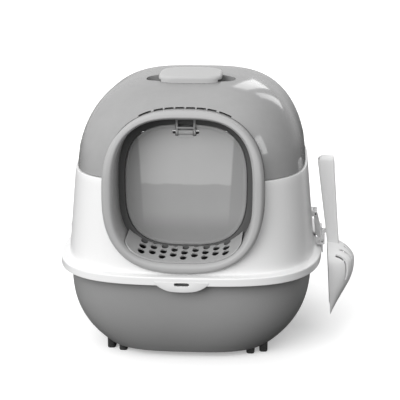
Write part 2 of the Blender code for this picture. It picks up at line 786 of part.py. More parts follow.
def make_scoop(scoop_frame):
    shift = Vector((-LIFT_POINT[0], -LIFT_POINT[1], -LIFT_POINT[2]))

    def handle(bm):
        rings = []
        for z, inset in ((0.1470, 0.0), (0.279, 0.0), (0.287, 0.002), (SCOOP_TOP, 0.006)):
            half = 0.0125 - inset / 2
            left, right = scoop_left(z) + inset, scoop_handle_right(z)
            centre = ((left + right) / 2, SCOOP_Y)
            ring = plan_ring(((right - left) / 2, half), z, 6.0, centre)
            rings.append(ring[::2])
        add_loft(bm, rings)

    def channel(bm):
        rings = []
        for z in (0.164, 0.273):
            left, right = scoop_left(z) + 0.0030, scoop_handle_right(z) + 0.01
            rings.append([(left, SCOOP_Y - 0.0098, z), (right, SCOOP_Y - 0.0098, z),
                          (right, SCOOP_Y + 0.0098, z), (left, SCOOP_Y + 0.0098, z)])
        add_loft(bm, rings)

    def bowl(bm):
        add_loft(bm, [bowl_ring(*section) for section in BOWL_SECTIONS])

    def bowl_hollow(bm):
        rings = []
        for z, half_width, depth in BOWL_SECTIONS[1:]:
            inner_depth = max(depth - BOWL_WALL, 0.0004)
            inner_z = z if z > SCOOP_TIP else z - 0.002
            rings.append(bowl_ring(inner_z, half_width - BOWL_WALL, inner_depth, 0.008))
        add_loft(bm, rings)

    def sifting_slots(bm):
        for index in range(-3, 4):
            y = SCOOP_Y + index * 0.0095
            top = 0.130 - 0.0012 * index * index
            add_box(bm, (0.2320, y - 0.0018, 0.066), (0.2720, y + 0.0018, top))

    def hook(bm):
        outline = ((0.2099, 0.1515), (0.2122, 0.1515), (0.2122, 0.1662), (0.2215, 0.1662), (0.2215, 0.1705),
                   (0.2112, 0.1705), (0.2099, 0.1692))
        add_prism_y(bm, outline, SCOOP_Y - 0.007, SCOOP_Y + 0.007)

    scoop = mesh_object("scoop", bowl, scoop_frame)
    steps = ((bowl_hollow, "DIFFERENCE"), (handle, "UNION"), (channel, "DIFFERENCE"),
             (sifting_slots, "DIFFERENCE"), (hook, "UNION"))
    pieces = [scoop]
    for shape, operation in steps:
        other = cutter(f"shape_{shape.__name__}", shape, scoop_frame)
        boolean(scoop, other, operation)
        pieces.append(other)
    for piece in pieces:
        for vertex in piece.data.vertices:
            vertex.co += shift
    return finish(scoop, material("scoop_grey", PALE_GREY, 0.4))


def build():
    clear_scene()
    root = empty("box_centre", (CENTRE_X, 0.0, 0.0))
    hood_frame = empty("hood_frame", (0.0, 0.0, 0.0), root)
    dome_frame = empty("dome_axis", (0.0, *HINGE_AXIS), hood_frame)
    door_frame = empty("door_axis", (0.0, *DOOR_PIVOT), hood_frame)
    scoop_frame = empty("scoop_seat", LIFT_POINT, hood_frame)
    make_tray(root)
    make_feet(root)
    make_hood(hood_frame)
    make_bezel(hood_frame)
    make_grate(hood_frame)
    make_door(door_frame)
    make_door_hanger(hood_frame)
    make_pins(hood_frame)
    make_dome(dome_frame)
    make_handle(dome_frame)
    make_dome_hinges(hood_frame, dome_frame)
    make_clips(hood_frame)
    make_scoop_holder(hood_frame)
    make_scoop(scoop_frame)


build()
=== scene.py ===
"""Hooded cat litter box: grey tray, white lift-off hood, smoky dome, drain step and scoop.

Metres, +Z up, the entry faces -Y. Pieces are built outward from the tray's centre line,
and every piece rides on the body that it belongs to.
"""
import json
import math

import bmesh
import bpy
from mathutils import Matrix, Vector

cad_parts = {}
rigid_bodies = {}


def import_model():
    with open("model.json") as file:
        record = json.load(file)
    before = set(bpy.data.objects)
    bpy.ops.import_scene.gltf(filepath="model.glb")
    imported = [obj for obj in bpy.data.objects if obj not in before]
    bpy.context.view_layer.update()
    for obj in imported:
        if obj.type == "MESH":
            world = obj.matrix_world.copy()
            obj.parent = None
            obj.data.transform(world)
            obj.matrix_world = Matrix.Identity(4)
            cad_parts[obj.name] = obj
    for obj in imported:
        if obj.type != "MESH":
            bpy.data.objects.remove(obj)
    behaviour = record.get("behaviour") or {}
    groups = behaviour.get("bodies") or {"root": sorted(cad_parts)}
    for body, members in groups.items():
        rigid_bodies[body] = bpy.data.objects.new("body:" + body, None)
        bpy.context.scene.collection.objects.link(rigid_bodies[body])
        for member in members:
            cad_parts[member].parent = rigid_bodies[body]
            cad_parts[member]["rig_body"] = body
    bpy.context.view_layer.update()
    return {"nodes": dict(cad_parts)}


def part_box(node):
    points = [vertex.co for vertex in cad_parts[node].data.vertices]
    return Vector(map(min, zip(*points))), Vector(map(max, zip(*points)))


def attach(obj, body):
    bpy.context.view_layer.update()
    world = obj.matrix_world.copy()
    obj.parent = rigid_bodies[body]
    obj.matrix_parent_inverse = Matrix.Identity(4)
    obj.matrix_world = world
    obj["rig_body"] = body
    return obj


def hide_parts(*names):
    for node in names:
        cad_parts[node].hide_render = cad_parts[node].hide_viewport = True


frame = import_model()

# --------------------------------------------------
# Studio: a long lens a little right of centre and above, over a pale floor that
# runs out of view. A light tent, brighter at the left, and two broad lamps give
# soft light; a side panel and two rear windows give the reflections.
# --------------------------------------------------
tray_low, tray_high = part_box("tray")
CENTRE_X = (tray_low.x + tray_high.x) / 2

TARGET = Vector((CENTRE_X + 0.0078, 0.0, 0.205))
CAMERA_DISTANCE = 2.0
CAMERA_SIDE, CAMERA_RISE = math.radians(4.5), math.radians(12.95)
FOCAL_LENGTH = 107.9
VIEW_REACH = 400.0


def placed(name, data):
    """An object at the origin that holds the data."""
    item = bpy.data.objects.new(name, data)
    bpy.context.collection.objects.link(item)
    return item


def aimed(item, place, towards):
    item.location = place
    item.rotation_euler = towards.to_track_quat("-Z", "Y").to_euler()


back = Vector((math.sin(CAMERA_SIDE) * math.cos(CAMERA_RISE),
               -math.cos(CAMERA_SIDE) * math.cos(CAMERA_RISE), math.sin(CAMERA_RISE)))
lens = bpy.data.cameras.new("camera")
lens.lens = FOCAL_LENGTH
lens.clip_end = VIEW_REACH
camera = placed("camera", lens)
aimed(camera, TARGET + back * CAMERA_DISTANCE, -back)
bpy.context.scene.camera = camera
bpy.context.scene.view_settings.view_transform = "Standard"


class Wire:
    """A node's output. Arithmetic on it adds Math nodes to the same tree."""

    def __init__(self, graph, socket):
        self.graph, self.socket = graph, socket

    def __add__(self, other):
        return self.graph.math("ADD", self, other)

    def __sub__(self, other):
        return self.graph.math("SUBTRACT", self, other)

    def __rsub__(self, other):
        return self.graph.math("SUBTRACT", other, self)

    def __mul__(self, other):
        return self.graph.math("MULTIPLY", self, other)

    def __truediv__(self, other):
        return self.graph.math("DIVIDE", self, other)

    def __rtruediv__(self, other):
        return self.graph.math("DIVIDE", other, self)

    def __pow__(self, other):
        return self.graph.math("POWER", self, other)

    __radd__ = __add__
    __rmul__ = __mul__

    def __abs__(self):
        return self.graph.math("ABSOLUTE", self)

    def above(self, other):
        return self.graph.math("GREATER_THAN", self, other)

    def step(self, low, high):
        """0 below low, 1 above high, easing between them."""
        sockets = {"Value": self, "From Min": low, "From Max": high}
        return self.graph.node("ShaderNodeMapRange", {"interpolation_type": "SMOOTHSTEP"}, sockets)


class Graph:
    """A node tree that is filled one node at a time: settings first, then sockets."""

    def __init__(self, tree):
        self.tree = tree
        tree.nodes.clear()

    def node(self, kind, settings=None, sockets=None, out=0):
        made = self.tree.nodes.new(kind)
        for name, value in (settings or {}).items():
            setattr(made, name, value)
        for key, value in (sockets or {}).items():
            if isinstance(value, Wire):
                self.tree.links.new(value.socket, made.inputs[key])
            else:
                made.inputs[key].default_value = value
        return Wire(self, made.outputs[out] if made.outputs else None)

    def math(self, operation, *values):
        return self.node("ShaderNodeMath", {"operation": operation}, dict(enumerate(values)))


def axis_of(graph, vector, axis):
    return graph.node("ShaderNodeSeparateXYZ", sockets={"Vector": vector}, out=axis)


SKY_LEFT, SKY_RIGHT = 1.08, 0.50    # brightness of the light tent's two sides
SKY_BACK_LOSS = 0.40                # the back is this much darker
SKY_UNDER = 0.06                    # and little comes from below
BACKDROP = 1.1                      # brightness of the plain backdrop that the lens sees

world = bpy.data.worlds.new("studio")
world.use_nodes = True
bpy.context.scene.world = world
studio = Graph(world.node_tree)
direction = studio.node("ShaderNodeTexCoord", out="Generated")
side, depth, height = (axis_of(studio, direction, axis) for axis in "XYZ")
walls = SKY_LEFT + side.step(0.0, 1.0) * (SKY_RIGHT - SKY_LEFT)
walls = walls * (1.0 - depth.step(0.0, 0.8) * SKY_BACK_LOSS)
walls = walls * (SKY_UNDER + height.step(-0.20, 0.06) * (1.0 - SKY_UNDER))
seen = studio.node("ShaderNodeLightPath", out="Is Camera Ray")
sky = studio.node("ShaderNodeBackground", sockets={
    "Color": (1.0, 1.0, 1.0, 1.0), "Strength": studio.math("MAXIMUM", walls, seen * BACKDROP)})
studio.node("ShaderNodeOutputWorld", sockets={"Surface": sky})


def lamp(name, kind, energy, place, aim, mirrored=True, **settings):
    data = bpy.data.lights.new(name, kind)
    data.energy = energy
    for key, value in settings.items():
        setattr(data, key, value)
    item = placed(name, data)
    aimed(item, place, Vector(aim) - Vector(place))
    item.visible_glossy = mirrored


lamp("broad_lamp", "SUN", 2.2, (-1.2, -2.0, 1.15), (0, 0, 0), angle=math.radians(45), mirrored=False)
lamp("rear_fill", "SUN", 1.3, (-0.6, 2.0, 1.2), (0, 0, 0), angle=math.radians(60), mirrored=False)
lamp("side_panel", "AREA", 2.6, (1.42, -0.80, 1.02), (0.09, -0.2, 0.33),
     shape="RECTANGLE", size=0.30, size_y=0.70)
for number, x in enumerate((0.35, 0.95)):
    lamp(f"rear_window_{number + 1}", "AREA", 1.6, (x, 2.1, 1.35), (0.08, -0.1, 0.40),
         shape="RECTANGLE", size=0.34, size_y=1.1)


def new_look(name):
    """A material and its empty graph."""
    look = bpy.data.materials.new(name)
    look.use_nodes = True
    return look, Graph(look.node_tree)


def finish_look(graph, **sockets):
    """One Principled shader, whose sockets are named with _ for each space."""
    named = {label.replace("_", " "): value for label, value in sockets.items()}
    surface = graph.node("ShaderNodeBsdfPrincipled", sockets=named)
    graph.node("ShaderNodeOutputMaterial", sockets={"Surface": surface})


FLOOR_REACH = 120.0
FLOOR_Z = -0.0001
floor_mesh = bpy.data.meshes.new("floor")
corners = [(x * FLOOR_REACH, y * FLOOR_REACH, FLOOR_Z) for x, y in ((-1, -1), (1, -1), (1, 1), (-1, 1))]
floor_mesh.from_pydata(corners, [], [(0, 1, 2, 3)])
floor = placed("floor", floor_mesh)
floor.visible_diffuse = floor.visible_glossy = False        # its bounce would wash out the underside
floor_look, paper = new_look("floor_white")
finish_look(paper, Base_Color=(0.80, 0.80, 0.80, 1.0), Roughness=0.9, Specular_IOR_Level=0.1,
            Emission_Color=(1.0, 1.0, 1.0, 1.0), Emission_Strength=0.30)
floor_mesh.materials.append(floor_look)


# --------------------------------------------------
# Litter tray: a deep basin injection-moulded in mid-grey polypropylene, with a
# bulging side, a turned-out rim that the hood sits on, and a flat bottom.
# --------------------------------------------------
PLAN_POWER = 3.3                    # squareness of the rounded-rectangle plan
TRAY_FLOOR = 0.0085
TRAY_TOP = 0.1395
TRAY_WALL = 0.003
TRAY_FOOT = (0.142, 0.197)
TRAY_SHOULDER = (0.194, 0.234)
TRAY_BULGE = 3.1
RIM_DEPTH = 0.0035                  # the side stops this far below the tray's top
FLOW_WAVE = 0.00009                 # height of a moulding's flow marks
SHINE_DRIFT = 0.05                  # how far its roughness wanders
RUB_PALE = 0.04                     # how much paler its rub marks are
PLASTIC_IOR = 1.49


def oval(half, power=PLAN_POWER, count=160):
    """Superellipse points, anticlockwise from +u, evenly turned about the middle."""
    points = []
    for step in range(count):
        angle = 2 * math.pi * step / count
        c, s = math.cos(angle), math.sin(angle)
        reach = (abs(c) ** power + abs(s) ** power) ** (-1 / power)
        points.append((half[0] * c * reach, half[1] * s * reach))
    return points


def ring(half, z, power=PLAN_POWER, centre=(0.0, 0.0), count=160):
    """A level superellipse about the tray's centre line."""
    return [(x + centre[0] + CENTRE_X, y + centre[1], z) for x, y in oval(half, power, count)]


def eased(points, steps=4):
    """A smooth path through control points of any dimension."""
    path = []
    padded = [points[0], *points, points[-1]]
    for a, b, c, d in zip(padded, padded[1:], padded[2:], padded[3:]):
        for i in range(steps):
            t = i / steps
            path.append(tuple(
                0.5 * (2 * q + (r - p) * t + (2 * p - 5 * q + 4 * r - s) * t * t
                       + (3 * q - p - 3 * r + s) * t ** 3)
                for p, q, r, s in zip(a, b, c, d)))
    path.append(tuple(points[-1]))
    return path


def new_piece(name, fill):
    """An object at the origin whose mesh is filled by fill(bm), faces outward."""
    bm = bmesh.new()
    fill(bm)
    bmesh.ops.recalc_face_normals(bm, faces=bm.faces)
    mesh = bpy.data.meshes.new(name)
    bm.to_mesh(mesh)
    bm.free()
    return placed(name, mesh)


def loft(bm, rings, closed=False):
    """Quads from ring to ring; the ends are capped, or joined when closed."""
    loops = [[bm.verts.new(point) for point in points] for points in rings]
    pairs = list(zip(loops, loops[1:]))
    if closed:
        pairs.append((loops[-1], loops[0]))
    else:
        bm.faces.new(loops[0])
        bm.faces.new(loops[-1])
    for low, high in pairs:
        for i in range(len(low)):
            j = (i + 1) % len(low)
            bm.faces.new((low[i], low[j], high[j], high[i]))


def lofted(name, rings, closed=False):
    return new_piece(name, lambda bm: loft(bm, rings, closed))


def settle(item, look, body, slot, *nodes, sharp=35.0):
    """Give a finished piece its material, smooth shading and body; its slot is not used."""
    item.data.materials.clear()
    item.data.materials.append(look)
    item.data.polygons.foreach_set("material_index", [0] * len(item.data.polygons))
    item.data.shade_smooth()
    item.data.set_sharp_from_angle(angle=math.radians(sharp))
    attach(item, body)
    if nodes:
        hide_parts(*nodes)
    return item


def noise(graph, place, scale, detail, spread=0.0):
    return graph.node("ShaderNodeTexNoise", sockets={
        "Vector": place, "Scale": scale, "Detail": detail, "Distortion": spread})


def stretched(graph, place, turn, scale):
    return graph.node("ShaderNodeMapping", sockets={"Vector": place, "Rotation": turn, "Scale": scale})


def grey(graph, tone):
    return graph.node("ShaderNodeCombineColor", sockets={0: tone, 1: tone, 2: tone})


def bump(graph, height, distance=1.0, strength=1.0):
    return graph.node("ShaderNodeBump", sockets={
        "Height": height, "Distance": distance, "Strength": strength})


def moulded(name, tone, roughness, grain=0.000012, mottle=0.05, scuff=0.10):
    """Injection-moulded plastic: spark-eroded grain, faint flow marks and rub marks."""
    look, graph = new_look(name)
    place = graph.node("ShaderNodeTexCoord", out="Object")
    flow = noise(graph, place, 11.0, 3.0, 0.6)
    cloud = noise(graph, place, 70.0, 4.0)
    pores = noise(graph, place, 1300.0, 1.0)
    drawn = stretched(graph, place, (0.3, 0.2, 0.0), (1.0, 1.0, 0.22))
    rubs = noise(graph, drawn, 210.0, 5.0, 1.2).step(0.60, 0.72)
    rubs = rubs * noise(graph, place, 17.0, 2.0).step(0.46, 0.62)
    tint = 1.0 + (flow - 0.5) * mottle * 2.0 + (cloud - 0.5) * mottle + rubs * RUB_PALE
    height = pores * grain + flow * FLOW_WAVE + cloud * grain * 0.6
    finish_look(graph, Base_Color=grey(graph, tint * tone), Normal=bump(graph, height), IOR=PLASTIC_IOR,
                Roughness=roughness + (cloud - 0.5) * SHINE_DRIFT + (flow - 0.5) * SHINE_DRIFT + rubs * scuff)
    return look


def tray_half(z, inset=0.0):
    share = min((z - TRAY_FLOOR) / (TRAY_TOP - RIM_DEPTH - TRAY_FLOOR), 1.0)
    swell = 1 - (1 - share) ** TRAY_BULGE
    return tuple(low + (high - low) * swell - inset for low, high in zip(TRAY_FOOT, TRAY_SHOULDER))


def tray_side(inset, low_z, high_z, count=26):
    """Levels of the bulging side, closer together near the bottom."""
    levels = []
    for step in range(count + 1):
        z = low_z + (high_z - low_z) * (step / count) ** 1.5
        levels.append((*tray_half(z, inset), z))
    return levels


tray_profile = [(0.02, 0.02, TRAY_FLOOR), (0.08, 0.12, TRAY_FLOOR), (0.1385, 0.1935, TRAY_FLOOR),
                (0.1405, 0.1955, TRAY_FLOOR + 0.0003)]
tray_profile += tray_side(0.0, TRAY_FLOOR + 0.0010, 0.1342)
tray_profile += eased([(0.1944, 0.2344, 0.1350), (0.1952, 0.2352, 0.1358), (0.1965, 0.2365, 0.1360),
                       (0.2012, 0.2412, 0.1360), (0.2020, 0.2420, 0.1367), (0.2020, 0.2420, 0.1387),
                       (0.2013, 0.2413, 0.1395), (0.1920, 0.2320, 0.1395), (0.1910, 0.2310, 0.1385)], 3)
tray_profile += list(reversed(tray_side(TRAY_WALL, 0.0185, 0.134)))
tray_profile += eased([(0.1462, 0.1990, 0.0150), (0.1400, 0.1930, 0.0123), (0.1330, 0.1860, 0.0115),
                       (0.08, 0.12, 0.0115), (0.02, 0.02, 0.0115)], 3)
tray = lofted("litter_tray", [ring((hx, hy), z) for hx, hy, z in tray_profile])
tray_look = moulded("tray_plastic", 0.265, 0.40, mottle=0.03)
settle(tray, tray_look, "tray", "tray_grey", "tray")


# --------------------------------------------------
# Feet: eight matt rubber stubs in pairs near the tray's corners. Each is one
# moulded block, trimmed to the curve of the tray's underside and glued on.
# --------------------------------------------------
FOOT_HALF = (0.0065, 0.011)
FOOT_PLACES = ((0.120, 0.152), (0.100, 0.162))
FOOT_TOP = 0.020
FOOT_GAP = 0.0001                   # glue line under the tray


def geometry_tree(name, sizes):
    """A geometry tree with one named input for each of the sizes."""
    kinds = {int: "NodeSocketInt", float: "NodeSocketFloat", tuple: "NodeSocketVector"}
    tree = bpy.data.node_groups.new(name, "GeometryNodeTree")
    tree.interface.new_socket("Geometry", in_out="INPUT", socket_type="NodeSocketGeometry")
    tree.interface.new_socket("Geometry", in_out="OUTPUT", socket_type="NodeSocketGeometry")
    for label, size in sizes.items():
        kind = kinds.get(type(size), "NodeSocketObject")
        socket = tree.interface.new_socket(label, in_out="INPUT", socket_type=kind)
        if kind != "NodeSocketObject":
            socket.default_value = size
    graph = Graph(tree)
    source = tree.nodes.new("NodeGroupInput")
    return graph, {socket.name: Wire(graph, socket) for socket in source.outputs if socket.name}


def real(graph, geometry):
    return graph.node("GeometryNodeRealizeInstances", sockets={"Geometry": geometry})


def cut_away(graph, whole, cutters):
    return graph.node("GeometryNodeMeshBoolean", {"operation": "DIFFERENCE", "solver": "EXACT"},
                      {"Mesh 1": whole, "Mesh 2": cutters})


def close_tree(graph, geometry, look):
    """The tree's ending: real geometry with its material."""
    dressed = graph.node("GeometryNodeSetMaterial", sockets={
        "Geometry": real(graph, geometry), "Material": look})
    ending = graph.tree.nodes.new("NodeGroupOutput")
    graph.tree.links.new(dressed.socket, ending.inputs[0])


def applied(item):
    """Keep the shape that the modifiers make as item's plain mesh."""
    depsgraph = bpy.context.evaluated_depsgraph_get()
    mesh = bpy.data.meshes.new_from_object(item.evaluated_get(depsgraph))
    item.modifiers.clear()
    item.data = mesh
    return item


def run_tree(item, graph, sizes):
    """Evaluate the tree on item once, with each size set on its own input."""
    step = item.modifiers.new("shape", "NODES")
    step.node_group = graph.tree
    for socket in graph.tree.interface.items_tree:
        if socket.in_out == "INPUT" and socket.name in sizes:
            step[socket.identifier] = sizes[socket.name]
    return applied(item)


def points_piece(name, points, edges=()):
    """An object of points and edges for a tree to build on."""
    mesh = bpy.data.meshes.new(name)
    mesh.from_pydata(points, edges, [])
    return placed(name, mesh)


def rubber(name):
    look, graph = new_look(name)
    place = graph.node("ShaderNodeTexCoord", out="Object")
    dust = noise(graph, place, 240.0, 5.0)
    pores = noise(graph, place, 1600.0, 2.0)
    shade = graph.node("ShaderNodeMapRange", sockets={
        "Value": dust, "From Min": 0.35, "From Max": 0.75, "To Min": 0.018, "To Max": 0.045})
    finish_look(graph, Base_Color=grey(graph, shade), Roughness=0.75 + dust * 0.15,
                Normal=bump(graph, pores, 0.00006, 0.6))
    return look


foot_profile = [(-0.0016, 0.0), (-0.0008, 0.0002), (-0.0002, 0.0008), (0.0, 0.0016), (0.0, 0.0034),
                (-0.0005, 0.0038), (-0.0005, 0.0046), (0.0, 0.0050), (0.0, FOOT_TOP)]
foot_block = lofted("foot_block", [
    [(x, y, z) for x, y in oval((FOOT_HALF[0] + inset, FOOT_HALF[1] + inset), 4.0, 32)]
    for inset, z in foot_profile])
under_levels = tray_profile[1:4] + tray_side(0.0, TRAY_FLOOR + 0.0010, 0.06, 12)
tray_solid = lofted("tray_solid", [ring((hx, hy), z - FOOT_GAP) for hx, hy, z in under_levels])
foot_sizes = {"Foot": foot_block, "Tray": tray_solid, "Width Scale": 1.0}
feet_graph, feet_in = geometry_tree("feet_by_points", foot_sizes)
block = feet_graph.node("GeometryNodeObjectInfo", sockets={"Object": feet_in["Foot"]}, out="Geometry")
under = feet_graph.node("GeometryNodeObjectInfo", sockets={"Object": feet_in["Tray"]}, out="Geometry")
foot_scale = feet_graph.node("ShaderNodeCombineXYZ", sockets={
    "X": feet_in["Width Scale"], "Y": feet_in["Width Scale"], "Z": 1.0})
stood = feet_graph.node("GeometryNodeInstanceOnPoints", sockets={
    "Points": feet_in["Geometry"], "Instance": block, "Scale": foot_scale})
trimmed = cut_away(feet_graph, real(feet_graph, stood), under)
rubber_look = rubber("foot_rubber")
close_tree(feet_graph, trimmed, rubber_look)
feet = points_piece("rubber_feet", [(sx * x + CENTRE_X, sy * y, 0.0)
                                    for x, y in FOOT_PLACES for sx in (-1, 1) for sy in (-1, 1)])
run_tree(feet, feet_graph, foot_sizes)
bpy.data.objects.remove(foot_block)
bpy.data.objects.remove(tray_solid)
settle(feet, rubber_look, "tray", "foot_rubber",
       *[f"foot_{end}_{side}_{place}" for end in ("front", "rear") for side in ("left", "right")
         for place in ("outer", "inner")])


# --------------------------------------------------
# Hood shell: a white moulded skirt that drops over the tray's rim. A flared
# ledge runs all round; a half-moon tongue with a slot hangs at the front.
# --------------------------------------------------
FLANGE = (0.210, 0.250)
LIP_LOW = 0.1315
LEDGE_UNDER = TRAY_TOP + 0.0003
WALL_BASE = (0.196, 0.2365, 0.158)
SEAM = (0.185, 0.2265, 0.283)
SEAT_WIDTH = 0.007
HOOD_WALL = 0.003
BEZEL_OUTER = (0.1204, 0.1195, 2.6, 0.2660)     # half width, half height, squareness, centre z
BEZEL_INNER = (0.1032, 0.1054, 3.0, 0.2678)
CLEARANCE = 0.0006
SLOT_Z = 0.1332
CLIP_Y, CLIP_LENGTH = 0.022, 0.028
NOTCH_X, NOTCH_Z = (0.1998, 0.2150), (0.128, 0.153)
LEDGE_HOLES = ((0.2022, -0.150), (0.2052, -0.128))
LEDGE_HOLE_HALF = (0.0016, 0.0022)


def wall_half(z, inset=0.0):
    share = (z - WALL_BASE[2]) / (SEAM[2] - WALL_BASE[2])
    return tuple(WALL_BASE[i] + (SEAM[i] - WALL_BASE[i]) * share - inset for i in (0, 1))


def from_flange(points):
    return [(FLANGE[0] - inset, FLANGE[1] - inset, z) for inset, z in points]


def carve(item, steps):
    """Boolean a list of (cutter, operation) into item, then drop the cutters."""
    for other, operation in steps:
        step = item.modifiers.new("cut", "BOOLEAN")
        step.operation, step.object, step.solver = operation, other, "EXACT"
    applied(item)
    for other, _ in steps:
        bpy.data.objects.remove(other)


def slab(bm, low, high):
    """A box given about the tray's centre line."""
    corners = ((low[0], low[1]), (high[0], low[1]), (high[0], high[1]), (low[0], high[1]))
    loft(bm, [[(x + CENTRE_X, y, z) for x, y in corners] for z in (low[2], high[2])])


def prism(bm, outline, y_low, y_high):
    """(x, z) points about the tray's centre line, extruded along Y."""
    loft(bm, [[(x + CENTRE_X, y, z) for x, z in outline] for y in (y_low, y_high)])


def entry_outline(share, extra=0.0, count=192):
    """(x, z) outline from the doorway's edge (share 0) to the bezel's outer edge (share 1)."""
    inner = oval(BEZEL_INNER[:2], BEZEL_INNER[2], count)
    outer = oval(BEZEL_OUTER[:2], BEZEL_OUTER[2], count)
    centre = BEZEL_INNER[3] + (BEZEL_OUTER[3] - BEZEL_INNER[3]) * share
    points = []
    for (ix, iz), (ox, oz) in zip(inner, outer):
        x, z = ix + (ox - ix) * share, iz + (oz - iz) * share
        stretch = 1 + extra / math.hypot(x, z)
        points.append((x * stretch, centre + z * stretch))
    return points


def doorway_cutter():
    return new_piece("doorway_cutter", lambda bm: prism(bm, entry_outline(1.0, CLEARANCE), -0.262, -0.130))


hood_outer = eased(from_flange([(0.0004, LIP_LOW), (0.0, LIP_LOW + 0.0005), (0.0, 0.1370), (0.0, 0.1418),
                                (0.0005, 0.1430), (0.0018, 0.1437), (0.0060, 0.1441), (0.0103, 0.1446),
                                (0.0121, 0.1457), (0.0130, 0.1482), (0.0135, 0.1530)]), 4)
hood_outer += [(*wall_half(z), z) for z in (0.158, 0.165, 0.18, 0.20, 0.22, 0.24, 0.26, 0.272)]
hood_outer += eased([(SEAM[0] - inset, SEAM[1] - inset, z) for inset, z in (
    (-0.0001, 0.2815), (0.0003, 0.2826), (0.0011, 0.2830), (SEAT_WIDTH, 0.2830), (SEAT_WIDTH, 0.2800))], 2)
hood_inner = [(*wall_half(z, HOOD_WALL), z) for z in (0.271, 0.245, 0.22, 0.19, 0.165, 0.158)]
hood_inner += [(WALL_BASE[0] - HOOD_WALL, WALL_BASE[1] - HOOD_WALL, LEDGE_UNDER)]
hood_inner += from_flange([(HOOD_WALL + 0.0006, LEDGE_UNDER), (HOOD_WALL, LEDGE_UNDER - 0.0006),
                           (HOOD_WALL, LIP_LOW)])
hood = lofted("hood_shell", [ring((hx, hy), z) for hx, hy, z in hood_outer + hood_inner], closed=True)

TONGUE = ((-0.0410, 0.1370), (-0.0398, 0.1338), (-0.0378, 0.1318), (-0.0335, 0.1285), (-0.0280, 0.1255),
          (-0.0225, 0.1234), (-0.0160, 0.1220), (-0.0080, 0.1213))
tongue_outline = [*TONGUE, (0.0, 0.1211), *[(-x, z) for x, z in reversed(TONGUE)]]


def tongue(bm):
    """Half-moon tab whose front edge is rounded over."""
    front, middle = -FLANGE[1], 0.1330
    rings = []
    for proud, shrink in ((-0.0028, 0.0), (-0.0004, 0.0), (0.0001, 0.010), (0.0003, 0.024)):
        rings.append([(x * (1 - shrink) + CENTRE_X, front - proud, middle + (z - middle) * (1 - shrink * 2.2))
                      for x, z in tongue_outline])
    loft(bm, rings)


def tongue_slot(bm):
    outline = [(x, SLOT_Z + z) for x, z in oval((0.0112, 0.0026), 5.0, 40)]
    prism(bm, outline, -FLANGE[1] - 0.004, -FLANGE[1] + 0.006)


def clip_notches(bm):
    half = CLIP_LENGTH / 2 + CLEARANCE
    for sign in (-1, 1):
        xs = sorted(sign * x for x in NOTCH_X)
        slab(bm, (xs[0], CLIP_Y - half, NOTCH_Z[0]), (xs[1], CLIP_Y + half, NOTCH_Z[1]))


def ledge_holes(bm):
    """Small moulding holes in the ledge, in front of each clip."""
    for sign in (1, -1):
        for x, y in LEDGE_HOLES:
            loft(bm, [ring(LEDGE_HOLE_HALF, z, 2.0, (sign * x, y), 20) for z in (0.1415, 0.150)])


carve(hood, [(new_piece("tongue", tongue), "UNION"), (new_piece("tongue_slot", tongue_slot), "DIFFERENCE"),
             (doorway_cutter(), "DIFFERENCE"), (new_piece("clip_notches", clip_notches), "DIFFERENCE"),
             (new_piece("ledge_holes", ledge_holes), "DIFFERENCE")])
hood_look = moulded("hood_plastic", 0.735, 0.30, grain=0.000006, mottle=0.008, scuff=0.05)
settle(hood, hood_look, "hood", "hood_white", "hood_lower")


# --------------------------------------------------
# Entry bezel: one grey moulding, a rounded ring snapped into the hood with the
# short tunnel behind it. A window in the tunnel's floor lets litter drop.
# --------------------------------------------------
BEZEL_FRONT = -0.246
TUNNEL_END = -0.172
RING_CROWN = 0.0070
RING_STEPS = 28
ENTRY_LOW = BEZEL_OUTER[3] - BEZEL_OUTER[1]
WINDOW_LOW, WINDOW_HIGH = (-0.080, -0.233, 0.140), (0.080, TUNNEL_END + 0.004, 0.186)


def bezel_face(z):
    """Front of the ring: nearly upright, curving back above the seam to meet the dome."""
    return BEZEL_FRONT + 0.067 * (z - ENTRY_LOW) + 2.4 * max(0.0, z - SEAM[2]) ** 2


def bezel_shape(bm):
    section = []
    for step in range(RING_STEPS + 1):
        share = 0.5 - 0.5 * math.cos(math.pi * step / RING_STEPS)
        section.append((share, RING_CROWN * abs(2 * share - 1) ** 3.2))
    section += [(1.0, 0.012), (1.0, 0.040), (0.83, 0.040), (0.83, 0.010), (0.17, 0.010)]
    rings = []
    for share, depth in section:
        rings.append([(x + CENTRE_X, bezel_face(z) + depth, z) for x, z in entry_outline(share)])
    for share, y in ((0.17, TUNNEL_END + 0.0004), (0.15, TUNNEL_END), (0.02, TUNNEL_END),
                     (0.0, TUNNEL_END - 0.0006), (0.0, -0.195)):
        rings.append([(x + CENTRE_X, y, z) for x, z in entry_outline(share)])
    loft(bm, rings, closed=True)


bezel = new_piece("entry_ring", bezel_shape)
window = new_piece("litter_window", lambda bm: slab(bm, WINDOW_LOW, WINDOW_HIGH))
carve(bezel, [(window, "DIFFERENCE")])
bezel_look = moulded("bezel_plastic", 0.36, 0.30, mottle=0.02)
settle(bezel, bezel_look, "hood", "bezel_grey", "entry_bezel")


# --------------------------------------------------
# Gap shade: a thin dark ring fixed across the tunnel's end, painted shade that fills the gap
# round the door where the shaded inside would show; the door swings through it both ways.
# --------------------------------------------------
DOOR_PIN = (-0.172, 0.349)          # y and z of the door's pin
DOOR_HALF = (0.0926, 0.093)
DOOR_POWER = 3.0
DOOR_Z = 0.2673
SHADE_RING_GAP = 0.0009


